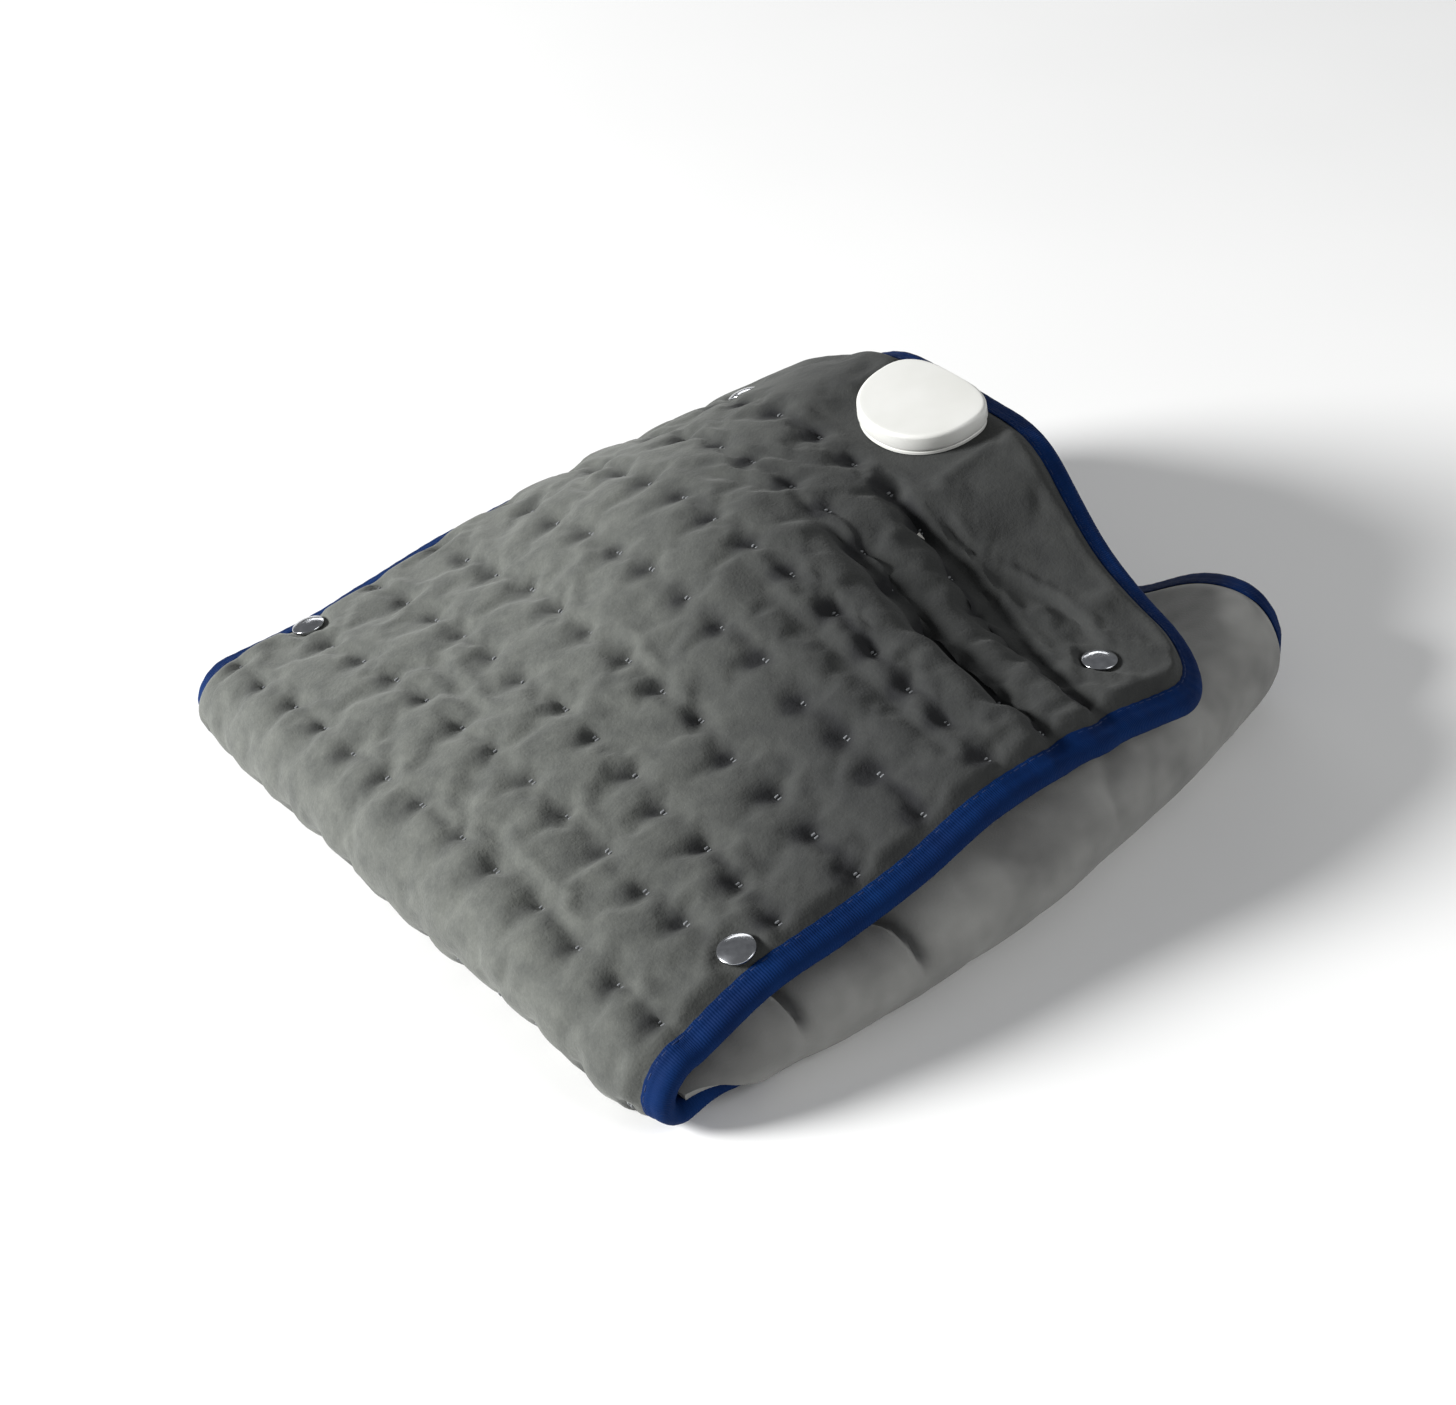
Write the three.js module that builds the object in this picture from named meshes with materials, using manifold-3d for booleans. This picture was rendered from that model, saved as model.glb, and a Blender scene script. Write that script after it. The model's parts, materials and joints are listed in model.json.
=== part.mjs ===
// Folded heating pad: a quilted electric sheet laid over itself, with edge binding, snap fasteners
// and the moulded connector that its controller's plug goes into.
// Millimetres, Z up. The fold lies along Y, the free ends point to +X and the near side is -Y.
import * as THREE from "three";
import { mergeVertices } from "three/addons/utils/BufferGeometryUtils.js";
import Module from "manifold-3d";

const wasm = await Module();
wasm.setup();

// Sizes of the sheet, laid flat. Distances along it are counted from the fold: flap plus, base minus.
const columnCount = 13;
const columnPitch = 22;
const sideMargin = 16;
const rowPitch = 31.2;
const firstRowPlace = -9;
const flapReach = 304;
const baseReach = 330;
const foldHalfArc = 23;
const cornerRadius = 38;
const cornerSteps = 5;
const padWidth = (columnCount - 1) * columnPitch + 2 * sideMargin;

// Layers, as distances from the sheet's middle surface: plus is the quilted side.
const coverFace = 6;
const coverPuff = 6.9;
const tuftFace = 3.9;
const edgeFace = 3.6;
const frontInside = 2.9;
const backInside = -2.6;
const backFace = -6;
const waddingTop = 1.8;
const waddingUnder = 1.7;
const carrierTop = -1.3;
const carrierUnder = -1.9;
const layerInset = 27;

// Edge binding: a folded tape round the rim.
const bindingWidth = 11;
const bindingFace = 6;
const bindingTape = 0.9;
const bindingRim = 1.4;
const bindingRound = 1.6;

// The fold: how far it swells out past its ends.
const foldTopPlace = 15;
const foldBottomPlace = 9;
const foldSwellShare = 0.95;
const foldGap = 0.8;

// Shape of the flap: heights of the middle surface at stations along it, as shares of the crest's height,
// from the near side to the far side. The stations are shares of the flap's length.
const crestHeight = 80;
const flapStationShares = [0.073, 0.176, 0.278, 0.381, 0.484, 0.586, 0.689, 0.791, 1];
const flapHeightShares = [
  [0.31, 0.38, 0.41, 0.37, 0.28],
  [0.45, 0.46, 0.51, 0.45, 0.30],
  [0.49, 0.52, 0.58, 0.51, 0.36],
  [0.55, 0.61, 0.69, 0.60, 0.43],
  [0.65, 0.73, 0.85, 0.75, 0.48],
  [0.67, 0.77, 0.94, 0.85, 0.51],
  [0.66, 0.69, 0.93, 0.89, 0.52],
  [0.64, 0.62, 0.89, 0.93, 0.52],
  [0.53, 0.74, 1.03, 0.97, 0.55],
];

// The near side is gathered towards the end: it runs shorter there, in wrinkles along its last tuft rows.
const gatherStart = 116;
const gatherLength = 60;
const gatherShare = 0.23;
const wrinkleDepth = 2.9;
const wrinkleBack = 58;
const wrinkleLength = 84;
const wrinkleFade = 31;
const wrinkleWidthShare = 0.7;
const leanDepth = 15;
const leanSide = 60;
const leanPower = 1.3;
const leanStart = 38;
const leanLength = 46;

// Shape of the base: it lies on the table, and its near margin is rolled under. The roll grows over its
// lead by the fold, and runs on to the end. Each station has its turn, radius, outermost place and tuck.
const rollRadius = 15;
const rollTurn = Math.PI;
const nearOverhang = 163;
const tuckLength = 30;
const rollFall = 78;
const rollLead = 58;
const rollLeadShares = [0, 0.26, 0.58, 1];
const rollRunShares = [0.12, 0.235, 0.36, 0.52, 0.655, 0.77, 0.915, 1];
const rollTurnShares = [0, 0.39, 0.88, 1, 1, 1, 1, 1, 1, 1, 1, 1];
const rollRadiusShares = [0.51, 0.51, 0.51, 0.54, 0.67, 0.85, 0.93, 0.93, 0.88, 0.88, 0.97, 1.03];
const nearPlaceShares = [0.908, 0.915, 0.935, 0.955, 0.965, 0.97, 0.96, 0.915, 0.87, 0.83, 0.765, 0.7];
const tuckShares = [0.05, 0.05, 0.05, 0.1, 0.2, 0.25, 0.25, 0.3, 0.4, 0.5, 0.8, 1];
const rollFallShares = [0.4, 0.4, 0.4, 0.5, 0.7, 0.9, 1, 1, 1, 1, 1, 1];

// Heating wire, its sensor and its leads.
const wireDiameter = 1.4;
const wireLaneColumns = [-4, -1, 1, 4];
const leadStepShares = [0, 0.1, 0.25, 0.4, 0.55, 0.7, 0.85, 1];
const sensorLength = 7;
const sensorDiameter = 1.2;
const sensorPlace = 150;
const sensorAcross = 0;

// Connector: an egg-shaped housing with its mouth towards the end of the flap.
const connectorEndGap = 27;
const connectorAcross = 22;
const connectorBackLength = 26;
const connectorFrontLength = 17;
const connectorHalfWidth = 25.6;
const connectorHeight = 9.4;
const connectorBaseHeight = 1.6;
const connectorWall = 1.7;
const connectorSeat = 6.3;
const seatSpread = 38;
const connectorRound = 2.4;
const connectorCrown = 0.5;
const frontSquareness = 2.7;
const backSquareness = 2.1;
const mouthWidth = 22;
const neckInset = 11;
const plateInset = 4;
const plateThickness = 1.3;
const leadHoleRadius = 3;
const boardLength = 16;
const boardWidth = 26;
const boardThickness = 1.2;
const boardFront = 2;
const pinBlockLength = 5;
const pinBlockHeight = 4.6;
const pinCount = 4;
const pinPitch = 5;
const pinSize = 1;
const pinLength = 8;
const pinReach = 1.5;
const fuseLength = 12;
const fuseDiameter = 2.6;
const screwRadius = 1.1;
const screwHeadRadius = 2.3;
const screwHeadHeight = 0.9;
const screwLength = 10.5;
const screwBossRadius = 2.9;
const screwPlaceShares = [[-0.68, 0], [0.12, 0.74], [0.12, -0.74]];

// Snap fasteners.
const cornerSnapBack = 49;
const cornerSnapInset = 34;
const snapRadius = 6.4;
const snapDome = 2.4;
const snapDomeShares = [[1, 0.25], [0.8, 0.7], [0.45, 0.94]];
const snapSeat = 6.4;
const snapPress = 4.7;
const snapStemRadius = 1.5;
const snapHoleRadius = 2;
const snapBackRadius = 5.2;
const snapBackHeight = 2;
const studRadius = 1.9;
const studHeight = 1.5;

// Place of the origin under the base, counted from the fold and from the middle of the width.
const restFaceX = 150;
const restFaceY = 40;

const clearance = 0.3;
const overrun = 4;
const roundSides = 12;
const eggSides = 28;
const neckSides = 14;
const holeSides = 6;
const wireSides = 5;

// Materials.
const plush = { color: 0x6b6d6a, roughness: 0.95, metalness: 0 };
const backCloth = { color: 0x6e6e6c, roughness: 0.9, metalness: 0 };
const tape = { color: 0x00316e, roughness: 0.7, metalness: 0 };
const fleece = { color: 0xe6e4dd, roughness: 0.95, metalness: 0 };
const felt = { color: 0xcfcabb, roughness: 0.95, metalness: 0 };
const siliconeWire = { color: 0xb8442f, roughness: 0.5, metalness: 0 };
const whitePlastic = { color: 0xeeeeec, roughness: 0.35, metalness: 0 };
const darkPlastic = { color: 0x2b2b2d, roughness: 0.5, metalness: 0 };
const boardLaminate = { color: 0x2f6b45, roughness: 0.5, metalness: 0 };
const polishedSteel = { color: 0xb9bcc0, roughness: 0.2, metalness: 1 };
const brass = { color: 0xc9a24c, roughness: 0.3, metalness: 1 };

const pad = new THREE.Group();

function addPiece(name, geometry, finish) {
  const mesh = new THREE.Mesh(geometry, new THREE.MeshStandardMaterial(finish));
  mesh.name = name;
  pad.add(mesh);
  return mesh;
}

// Closed body from corner points and triangles, turned so that its faces point out.
function closedBody(points, triangles) {
  let volume = 0;
  const cross = new THREE.Vector3();
  for (const [a, b, c] of triangles) {
    volume += points[a].dot(cross.crossVectors(points[b], points[c]));
  }
  const order = volume < 0 ? triangles.map(([a, b, c]) => [a, c, b]) : triangles;
  const geometry = new THREE.BufferGeometry();
  geometry.setAttribute("position", new THREE.Float32BufferAttribute(points.flatMap((p) => p.toArray()), 3));
  geometry.setIndex(order.flat());
  return geometry;
}

// Curve through a table of values: a cubic whose slope at each station comes from its neighbours.
function through(stations, values, at) {
  const last = stations.length - 1;
  let k = 0;
  while (k < last - 1 && at > stations[k + 1]) {
    k += 1;
  }
  const slope = (i) => {
    const low = Math.max(i - 1, 0);
    const high = Math.min(i + 1, last);
    return (values[high] - values[low]) / (stations[high] - stations[low]);
  };
  const width = stations[k + 1] - stations[k];
  const t = Math.min(Math.max((at - stations[k]) / width, 0), 1);
  const rise = values[k + 1] - values[k];
  const bendIn = slope(k) * width - rise;
  const bendOut = rise - slope(k + 1) * width;
  return values[k] + t * rise + t * (1 - t) * ((1 - t) * bendIn + t * bendOut);
}

const smooth = (t) => {
  const c = Math.min(Math.max(t, 0), 1);
  return c * c * (3 - 2 * c);
};

const rowPlace = (k) => firstRowPlace + k * rowPitch;
const halfWidth = padWidth / 2;
const connectorPlace = flapReach - connectorEndGap;
const wrinkleEnd = flapReach - wrinkleBack;
const wrinkleStart = wrinkleEnd - wrinkleLength;

// The middle surface is worked out on a lattice: rows along the sheet, columns across it.
const latticeColumns = 48;
const fineSteps = 8;
const baseLatticeRows = 46;
const foldLatticeRows = 8;
const flapLatticeRows = 40;
const acrossShareOf = (j) => (2 * j) / latticeColumns - 1;
const heightColumnShares = [-1, -0.5, 0, 0.5, 1];
const flapStations = flapStationShares.map((share) => share * flapReach);

// The flap's wrinkles lean back to the fold on the near side.
function rowLean(along, across) {
  const side = Math.min(Math.max((leanSide - across) / (leanSide + halfWidth - sideMargin), 0), 1);
  return -leanDepth * side ** leanPower * smooth((along - leanStart) / leanLength);
}

function flapHeight(along, acrossShare) {
  const rows = flapHeightShares.map((row) => through(heightColumnShares, row, acrossShare));
  const nearShare = Math.min(Math.max(-acrossShare, 0), 1);
  const held = smooth((along - wrinkleStart) / wrinkleFade) * smooth((wrinkleEnd - along) / wrinkleFade);
  const unleaned = along - rowLean(along, acrossShare * halfWidth) - firstRowPlace;
  const wave = Math.cos((2 * Math.PI * unleaned) / rowPitch);
  const wrinkle = wrinkleDepth * wave * held * Math.sin(Math.PI * nearShare) ** wrinkleWidthShare;
  return crestHeight * through(flapStations, rows, along) - wrinkle;
}

// How much of its length the sheet keeps at a place: less where it is gathered.
function keptShare(along, acrossShare) {
  return 1 - gatherShare * smooth(-acrossShare) * smooth((along - gatherStart) / gatherLength);
}

// Flap: its length is kept along each line, and its width across each row, as its height changes.
function flapLattice() {
  const step = (flapReach - foldHalfArc) / flapLatticeRows;
  const columnStep = padWidth / latticeColumns;
  const rows = [];
  const x = new Array(latticeColumns + 1).fill(foldTopPlace);
  for (let i = 0; i <= flapLatticeRows; i += 1) {
    const along = foldHalfArc + i * step;
    const heights = x.map((_, j) => flapHeight(along, acrossShareOf(j)));
    const spread = [0];
    for (let j = 1; j <= latticeColumns; j += 1) {
      const run = Math.sqrt(columnStep ** 2 - (heights[j] - heights[j - 1]) ** 2);
      spread.push(spread[j - 1] + run);
    }
    const middle = spread[latticeColumns / 2];
    rows.push(heights.map((z, j) => new THREE.Vector3(x[j], spread[j] - middle, z)));
    for (let j = 0; j <= latticeColumns; j += 1) {
      const rise = flapHeight(along + step, acrossShareOf(j)) - heights[j];
      x[j] += keptShare(along, acrossShareOf(j)) * Math.sqrt(step ** 2 - rise ** 2);
    }
  }
  return rows;
}

const baseSpan = baseReach - foldHalfArc;
const baseStations = [
  ...rollLeadShares.map((share) => share * rollLead),
  ...rollRunShares.map((share) => rollLead + share * (baseSpan - rollLead)),
];

// Base: a tucked length, a rolled margin that turns up and over, a fall back to the table, then flat.
function baseRow(share) {
  const tabled = (values) => through(baseStations, values, share * baseSpan);
  const turn = rollTurn * Math.min(tabled(rollTurnShares), 1);
  const radius = rollRadius * tabled(rollRadiusShares);
  const tuck = tuckLength * tabled(tuckShares);
  const fall = rollFall * tabled(rollFallShares);
  const rollLength = Math.max(radius * turn, overrun);
  const step = padWidth / latticeColumns / fineSteps;
  const at = new THREE.Vector2(0, 0);
  const line = [at.clone()];
  let top = 0;
  for (let n = 0; n < latticeColumns * fineSteps; n += 1) {
    const beyondRoll = (n + 0.5) * step - tuck - rollLength;
    if (beyondRoll < 0) {
      const left = Math.min(1, -beyondRoll / rollLength);
      at.x += step * Math.cos(turn * left);
      at.y += step * Math.sin(turn * left);
      top = at.y;
    } else {
      const before = at.y;
      at.y = top * (1 - smooth((beyondRoll + step / 2) / fall));
      at.x += Math.sqrt(step ** 2 - (at.y - before) ** 2);
    }
    if ((n + 1) % fineSteps === 0) {
      line.push(at.clone());
    }
  }
  const outermost = Math.min(...line.map((p) => p.x));
  const nearPlace = -nearOverhang * tabled(nearPlaceShares) + coverFace * (turn / rollTurn);
  return line.map((p) => new THREE.Vector2(nearPlace + p.x - outermost, coverFace + p.y));
}

function baseLattice() {
  const rows = [];
  for (let i = 0; i < baseLatticeRows; i += 1) {
    const share = 1 - i / baseLatticeRows;
    rows.push(baseRow(share).map((p) => new THREE.Vector3(foldBottomPlace + share * baseSpan, p.x, p.y)));
  }
  return rows;
}

// Fold: a half oval from the base's first row up to the flap's first row.
function foldLattice(bottomRow, topRow) {
  const rows = [];
  for (let i = 0; i < foldLatticeRows; i += 1) {
    const angle = Math.PI * (i / foldLatticeRows - 0.5);
    const share = (1 + Math.sin(angle)) / 2;
    rows.push(bottomRow.map((bottom, j) => {
      const p = bottom.clone().lerp(topRow[j], share);
      p.x -= foldSwellShare * (topRow[j].z - bottom.z) / 2 * Math.cos(angle);
      return p;
    }));
  }
  return rows;
}

const flapRows = flapLattice();
const baseRows = baseLattice();
const firstBaseRow = baseRow(0).map((p) => new THREE.Vector3(foldBottomPlace, p.x, p.y));

// The lattice has one more row and column on every side, carried on in a straight line.
function latticeWithMargins() {
  const beyond = (edge, inner) => edge.clone().multiplyScalar(2).sub(inner);
  const widened = (list, mirror) => [mirror(list[0], list[1]), ...list, mirror(list.at(-1), list.at(-2))];
  const rows = [...baseRows, ...foldLattice(firstBaseRow, flapRows[0]), ...flapRows];
  return widened(
    rows.map((row) => widened(row, beyond)),
    (edge, inner) => edge.map((p, j) => beyond(p, inner[j])),
  );
}
let lattice = latticeWithMargins();

function latticeRowOf(along) {
  if (along < -foldHalfArc) {
    return baseLatticeRows * (along + baseReach) / baseSpan;
  }
  if (along < foldHalfArc) {
    return baseLatticeRows + foldLatticeRows * (along + foldHalfArc) / (2 * foldHalfArc);
  }
  const flapShare = (along - foldHalfArc) / (flapReach - foldHalfArc);
  return baseLatticeRows + foldLatticeRows + flapLatticeRows * flapShare;
}

function weights(t) {
  const u = 1 - t;
  return [-t * u * u / 2, 1 + t * t * (3 * t - 5) / 2, 1 + u * u * (3 * u - 5) / 2, -t * t * u / 2];
}

// Point of the middle surface, by cubic interpolation of the lattice.
function middlePoint(along, across) {
  const row = latticeRowOf(along);
  const column = (across / padWidth + 0.5) * latticeColumns;
  const i = Math.min(Math.max(Math.floor(row), 0), lattice.length - 4);
  const j = Math.min(Math.max(Math.floor(column), 0), latticeColumns - 1);
  const rowWeights = weights(row - i);
  const columnWeights = weights(column - j);
  const point = new THREE.Vector3();
  for (let m = 0; m < 4; m += 1) {
    for (let n = 0; n < 4; n += 1) {
      point.addScaledVector(lattice[i + m][j + n], rowWeights[m] * columnWeights[n]);
    }
  }
  return point;
}

const probe = padWidth / latticeColumns / 2;

function quiltedNormal(along, across) {
  const alongLow = Math.max(along - probe, -baseReach);
  const alongHigh = Math.min(along + probe, flapReach);
  const acrossLow = Math.max(across - probe, -halfWidth);
  const acrossHigh = Math.min(across + probe, halfWidth);
  const lengthwise = middlePoint(alongHigh, across).sub(middlePoint(alongLow, across));
  const crosswise = middlePoint(along, acrossHigh).sub(middlePoint(along, acrossLow));
  return lengthwise.cross(crosswise).normalize();
}

// The sheet is held flat under the connector.
function holdSeatFlat() {
  const normal = quiltedNormal(connectorPlace, connectorAcross);
  const seat = middlePoint(connectorPlace, connectorAcross);
  flapRows.forEach((row, i) => {
    const along = foldHalfArc + i * (flapReach - foldHalfArc) / flapLatticeRows;
    const pastLength = Math.max(Math.abs(along - connectorPlace) - connectorBackLength, 0);
    row.forEach((p, j) => {
      const across = acrossShareOf(j) * halfWidth;
      const pastWidth = Math.max(Math.abs(across - connectorAcross) - connectorHalfWidth, 0);
      const hold = 1 - smooth(Math.hypot(pastLength, pastWidth) / seatSpread);
      p.addScaledVector(normal, -hold * p.clone().sub(seat).dot(normal));
    });
  });
}
holdSeatFlat();
lattice = latticeWithMargins();

// Any place in the sheet: along it, across it and off its middle surface, never below the table.
function place(along, across, off) {
  const point = middlePoint(along, across).addScaledVector(quiltedNormal(along, across), off);
  point.z = Math.max(point.z, 0);
  return point;
}

// How far the sheet reaches along itself at a distance across, a given inset from its rounded outline.
function reachAt(end, across, inset) {
  const past = Math.abs(across) - (halfWidth - cornerRadius);
  const radius = cornerRadius - inset;
  if (past <= 0) {
    return end - inset;
  }
  return end - cornerRadius + Math.sqrt(Math.max(radius ** 2 - past ** 2, 0));
}

// Slab between two faces on a grid of places; each face is a function of row and column.
function slab(rowCount, columnsCount, upper, lower) {
  const points = [];
  const triangles = [];
  for (const face of [upper, lower]) {
    for (let i = 0; i < rowCount; i += 1) {
      for (let j = 0; j < columnsCount; j += 1) {
        points.push(face(i, j));
      }
    }
  }
  const top = (i, j) => i * columnsCount + j;
  const under = (i, j) => rowCount * columnsCount + top(i, j);
  const quad = (a, b, c, d) => triangles.push([a, b, c], [a, c, d]);
  for (let i = 0; i < rowCount - 1; i += 1) {
    for (let j = 0; j < columnsCount - 1; j += 1) {
      quad(top(i, j), top(i, j + 1), top(i + 1, j + 1), top(i + 1, j));
      quad(under(i, j), under(i + 1, j), under(i + 1, j + 1), under(i, j + 1));
    }
  }
  const lastRow = rowCount - 1;
  const lastColumn = columnsCount - 1;
  for (let i = 0; i < lastRow; i += 1) {
    quad(top(i, 0), top(i + 1, 0), under(i + 1, 0), under(i, 0));
    quad(top(i + 1, lastColumn), top(i, lastColumn), under(i, lastColumn), under(i + 1, lastColumn));
  }
  for (let j = 0; j < lastColumn; j += 1) {
    quad(top(0, j + 1), top(0, j), under(0, j), under(0, j + 1));
    quad(top(lastRow, j), top(lastRow, j + 1), under(lastRow, j + 1), under(lastRow, j));
  }
  return closedBody(points, triangles);
}

// Rows and columns that the covers share. The outer ones follow the binding and the outline.
const rimInset = bindingRim + 2 * bindingTape;
const bindingInset = bindingWidth + clearance;

function rimmedColumns(inner) {
  const near = [-(halfWidth - rimInset), -(halfWidth - bindingInset)];
  return [...near, ...inner, ...near.map((v) => -v).reverse()];
}

const tuftHalfColumns = columnCount - 1;
const fineColumns = rimmedColumns(Array.from(
  { length: 2 * tuftHalfColumns + 1 },
  (_, j) => (j - tuftHalfColumns) * columnPitch / 2,
));
const plainColumns = rimmedColumns(Array.from(
  { length: tuftHalfColumns + 1 },
  (_, j) => (j - tuftHalfColumns / 2) * columnPitch,
));
const rollColumnStep = columnPitch / 3;
const rollColumnCount = 9;
const rollStart = -(halfWidth - sideMargin);
const flatColumns = [-3, -2, -1, 1, 3, 5, 6].map((column) => column * columnPitch);
const rollColumns = [-(halfWidth - rimInset), -(halfWidth - bindingWidth / 2), ...rimmedColumns([
  ...Array.from({ length: rollColumnCount }, (_, j) => rollStart + j * rollColumnStep),
  ...flatColumns,
]).slice(1)];

const foldStart = firstRowPlace - rowPitch / 2;
const flapStart = rowPlace(1) + rowPitch / 2;
const foldRowStep = rowPitch / 4;
const foldRowCount = 9;
const foldRows = Array.from({ length: foldRowCount }, (_, i) => (
  Math.min(Math.max(foldStart + i * foldRowStep, foldStart + foldGap), flapStart - foldGap)
));
const flapInnerRows = Array.from({
  length: 1 + Math.floor((flapReach - cornerRadius - bindingInset - flapStart) / (rowPitch / 2)),
}, (_, i) => flapStart + i * rowPitch / 2);
const flapEndRowShares = [0.45];
const baseInnerRowShares = [
  0, 0.025, 0.05, 0.08, 0.115, 0.16, 0.21, 0.26, 0.33, 0.42, 0.5, 0.6, 0.7, 0.79, 0.86, 0.92,
];
const lastStraight = (end) => end - cornerRadius;
const baseInnerRows = baseInnerRowShares.map((share) => (
  foldStart - share * (baseReach - bindingInset + foldStart)
));

// Place along the sheet of a cover's row: even rows first, then rows that follow the rounded end.
function bindingRow(end, across) {
  const past = Math.abs(across) - (halfWidth - bindingInset);
  return past > 0
    ? lastStraight(end) - past
    : reachAt(end, across, bindingInset);
}

function flapAlong(i, across) {
  const inner = flapInnerRows.length;
  if (i < inner) {
    return flapInnerRows[i];
  }
  const from = flapInnerRows[inner - 1];
  const k = i - inner;
  if (k < flapEndRowShares.length) {
    return from + flapEndRowShares[k] * (bindingRow(flapReach, across) - from);
  }
  return k === flapEndRowShares.length
    ? bindingRow(flapReach, across)
    : reachAt(flapReach, across, rimInset);
}

function baseAlong(i, across) {
  const inner = baseInnerRows.length;
  const end = bindingRow(baseReach, across);
  if (i < inner) {
    return -baseInnerRowShares[i] * (end + foldStart) + foldStart;
  }
  return i === inner ? -end : -reachAt(baseReach, across, rimInset);
}

const flapRowTotal = flapInnerRows.length + flapEndRowShares.length + 2;
const baseRowTotal = baseInnerRows.length + 2;

// Places of the snap fasteners: two by the fold and two at the end's corners.
const foldSnapPlace = rowPlace(2);
const endSnapPlace = flapReach - cornerSnapBack;
const snaps = [
  { name: "fold_near", along: foldSnapPlace, across: -(halfWidth - sideMargin), part: "stud" },
  { name: "fold_far", along: foldSnapPlace, across: halfWidth - sideMargin, part: "stud" },
  { name: "end_near", along: endSnapPlace, across: -(halfWidth - cornerSnapInset), part: "socket" },
  { name: "end_far", along: endSnapPlace, across: halfWidth - cornerSnapInset, part: "socket" },
];

// Frame on the sheet: X along it, Z off its quilted side.
function sheetFrame(along, across, off) {
  const zAxis = quiltedNormal(along, across);
  const ahead = middlePoint(along + probe, across).sub(middlePoint(along - probe, across));
  const xAxis = ahead.addScaledVector(zAxis, -ahead.dot(zAxis)).normalize();
  const yAxis = zAxis.clone().cross(xAxis);
  return new THREE.Matrix4().makeBasis(xAxis, yAxis, zAxis).setPosition(place(along, across, off));
}

const connectorSpace = sheetFrame(connectorPlace, connectorAcross, connectorSeat);

// Egg outline: squarer at the mouth, rounder and longer at the back.
function eggPoint(angle, inset) {
  const c = Math.cos(angle);
  const s = Math.sin(angle);
  const power = 2 / (c > 0 ? frontSquareness : backSquareness);
  const length = (c > 0 ? connectorFrontLength : connectorBackLength) - inset;
  return new THREE.Vector2(
    Math.sign(c) * length * Math.abs(c) ** power,
    Math.sign(s) * (connectorHalfWidth - inset) * Math.abs(s) ** power,
  );
}

// Body with egg outlines: a list of [inset, height] from its underside to its top, filled in at both ends.
function eggBody(profile, sides = eggSides) {
  const points = [];
  const triangles = [];
  for (const [inset, height] of profile) {
    for (let k = 0; k < sides; k += 1) {
      const p = eggPoint((2 * Math.PI * (k + 0.5)) / sides, inset);
      points.push(new THREE.Vector3(p.x, p.y, height));
    }
  }
  for (let i = 0; i < profile.length - 1; i += 1) {
    for (let k = 0; k < sides; k += 1) {
      const a = i * sides + k;
      const b = i * sides + ((k + 1) % sides);
      triangles.push([a, b, b + sides], [a, b + sides, a + sides]);
    }
  }
  const last = (profile.length - 1) * sides;
  for (let k = 1; k < sides - 1; k += 1) {
    triangles.push([0, k + 1, k], [last, last + k, last + k + 1]);
  }
  return closedBody(points, triangles);
}

// Round body about Z from a half outline of [radius, height] pairs that starts and ends on the axis.
function turned(profile, sides = roundSides) {
  const outline = profile.map(([radius, height]) => new THREE.Vector2(radius, height));
  return bare(new THREE.LatheGeometry(outline, sides)).rotateX(Math.PI / 2);
}

function bare(geometry) {
  geometry.deleteAttribute("normal");
  geometry.deleteAttribute("uv");
  return mergeVertices(geometry);
}

function solidOf(geometry) {
  const merged = bare(geometry.clone());
  return new wasm.Manifold(new wasm.Mesh({
    numProp: 3,
    vertProperties: Float32Array.from(merged.attributes.position.array),
    triVerts: Uint32Array.from(merged.index.array),
  }));
}

function geometryOf(solid) {
  const { vertProperties, triVerts } = solid.getMesh();
  const geometry = new THREE.BufferGeometry();
  geometry.setAttribute("position", new THREE.Float32BufferAttribute(vertProperties, 3));
  geometry.setIndex(Array.from(triVerts));
  return geometry;
}

const cut = (geometry, cutters) => geometryOf(
  cutters.reduce((solid, cutter) => solid.subtract(solidOf(cutter)), solidOf(geometry)),
);

const joined = (geometry, others) => geometryOf(
  others.reduce((solid, other) => solid.add(solidOf(other)), solidOf(geometry)),
);

function block(length, width, height, x, y, z) {
  return bare(new THREE.BoxGeometry(length, width, height)).translate(x, y, z);
}

function rod(radius, low, high, x, y, sides = roundSides) {
  return turned([[0, low], [radius, low], [radius, high], [0, high]], sides).translate(x, y, 0);
}

const snapHoles = snaps.map(({ along, across }) => (
  rod(snapHoleRadius, backFace - overrun, coverPuff + overrun, 0, 0, holeSides)
    .applyMatrix4(sheetFrame(along, across, 0))
));

// The front cover puffs up between its tufts, and is pressed down under the connector and the snaps.
function pressedOff(along, across, off) {
  const beyond = Math.hypot(
    Math.max(Math.abs(along - connectorPlace) - connectorBackLength, 0),
    Math.max(Math.abs(across - connectorAcross) - connectorHalfWidth, 0),
  );
  const limits = snaps.map((snap) => {
    const away = Math.hypot(along - snap.along, across - snap.across);
    return snapPress + (coverPuff - snapPress) * smooth((away - 2 * snapRadius) / snapRadius);
  });
  return Math.min(off, coverFace + (coverPuff - coverFace) * smooth(beyond / columnPitch - 1), ...limits);
}

const isTuft = (i, j) => i % 2 === 1 && j % 2 === 0;
const onRim = (columns, j) => Math.abs(columns[j]) > halfWidth - bindingInset - clearance;

const screwPlaces = screwPlaceShares.map(([x, y]) => [x * connectorBackLength, y * connectorHalfWidth]);

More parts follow.
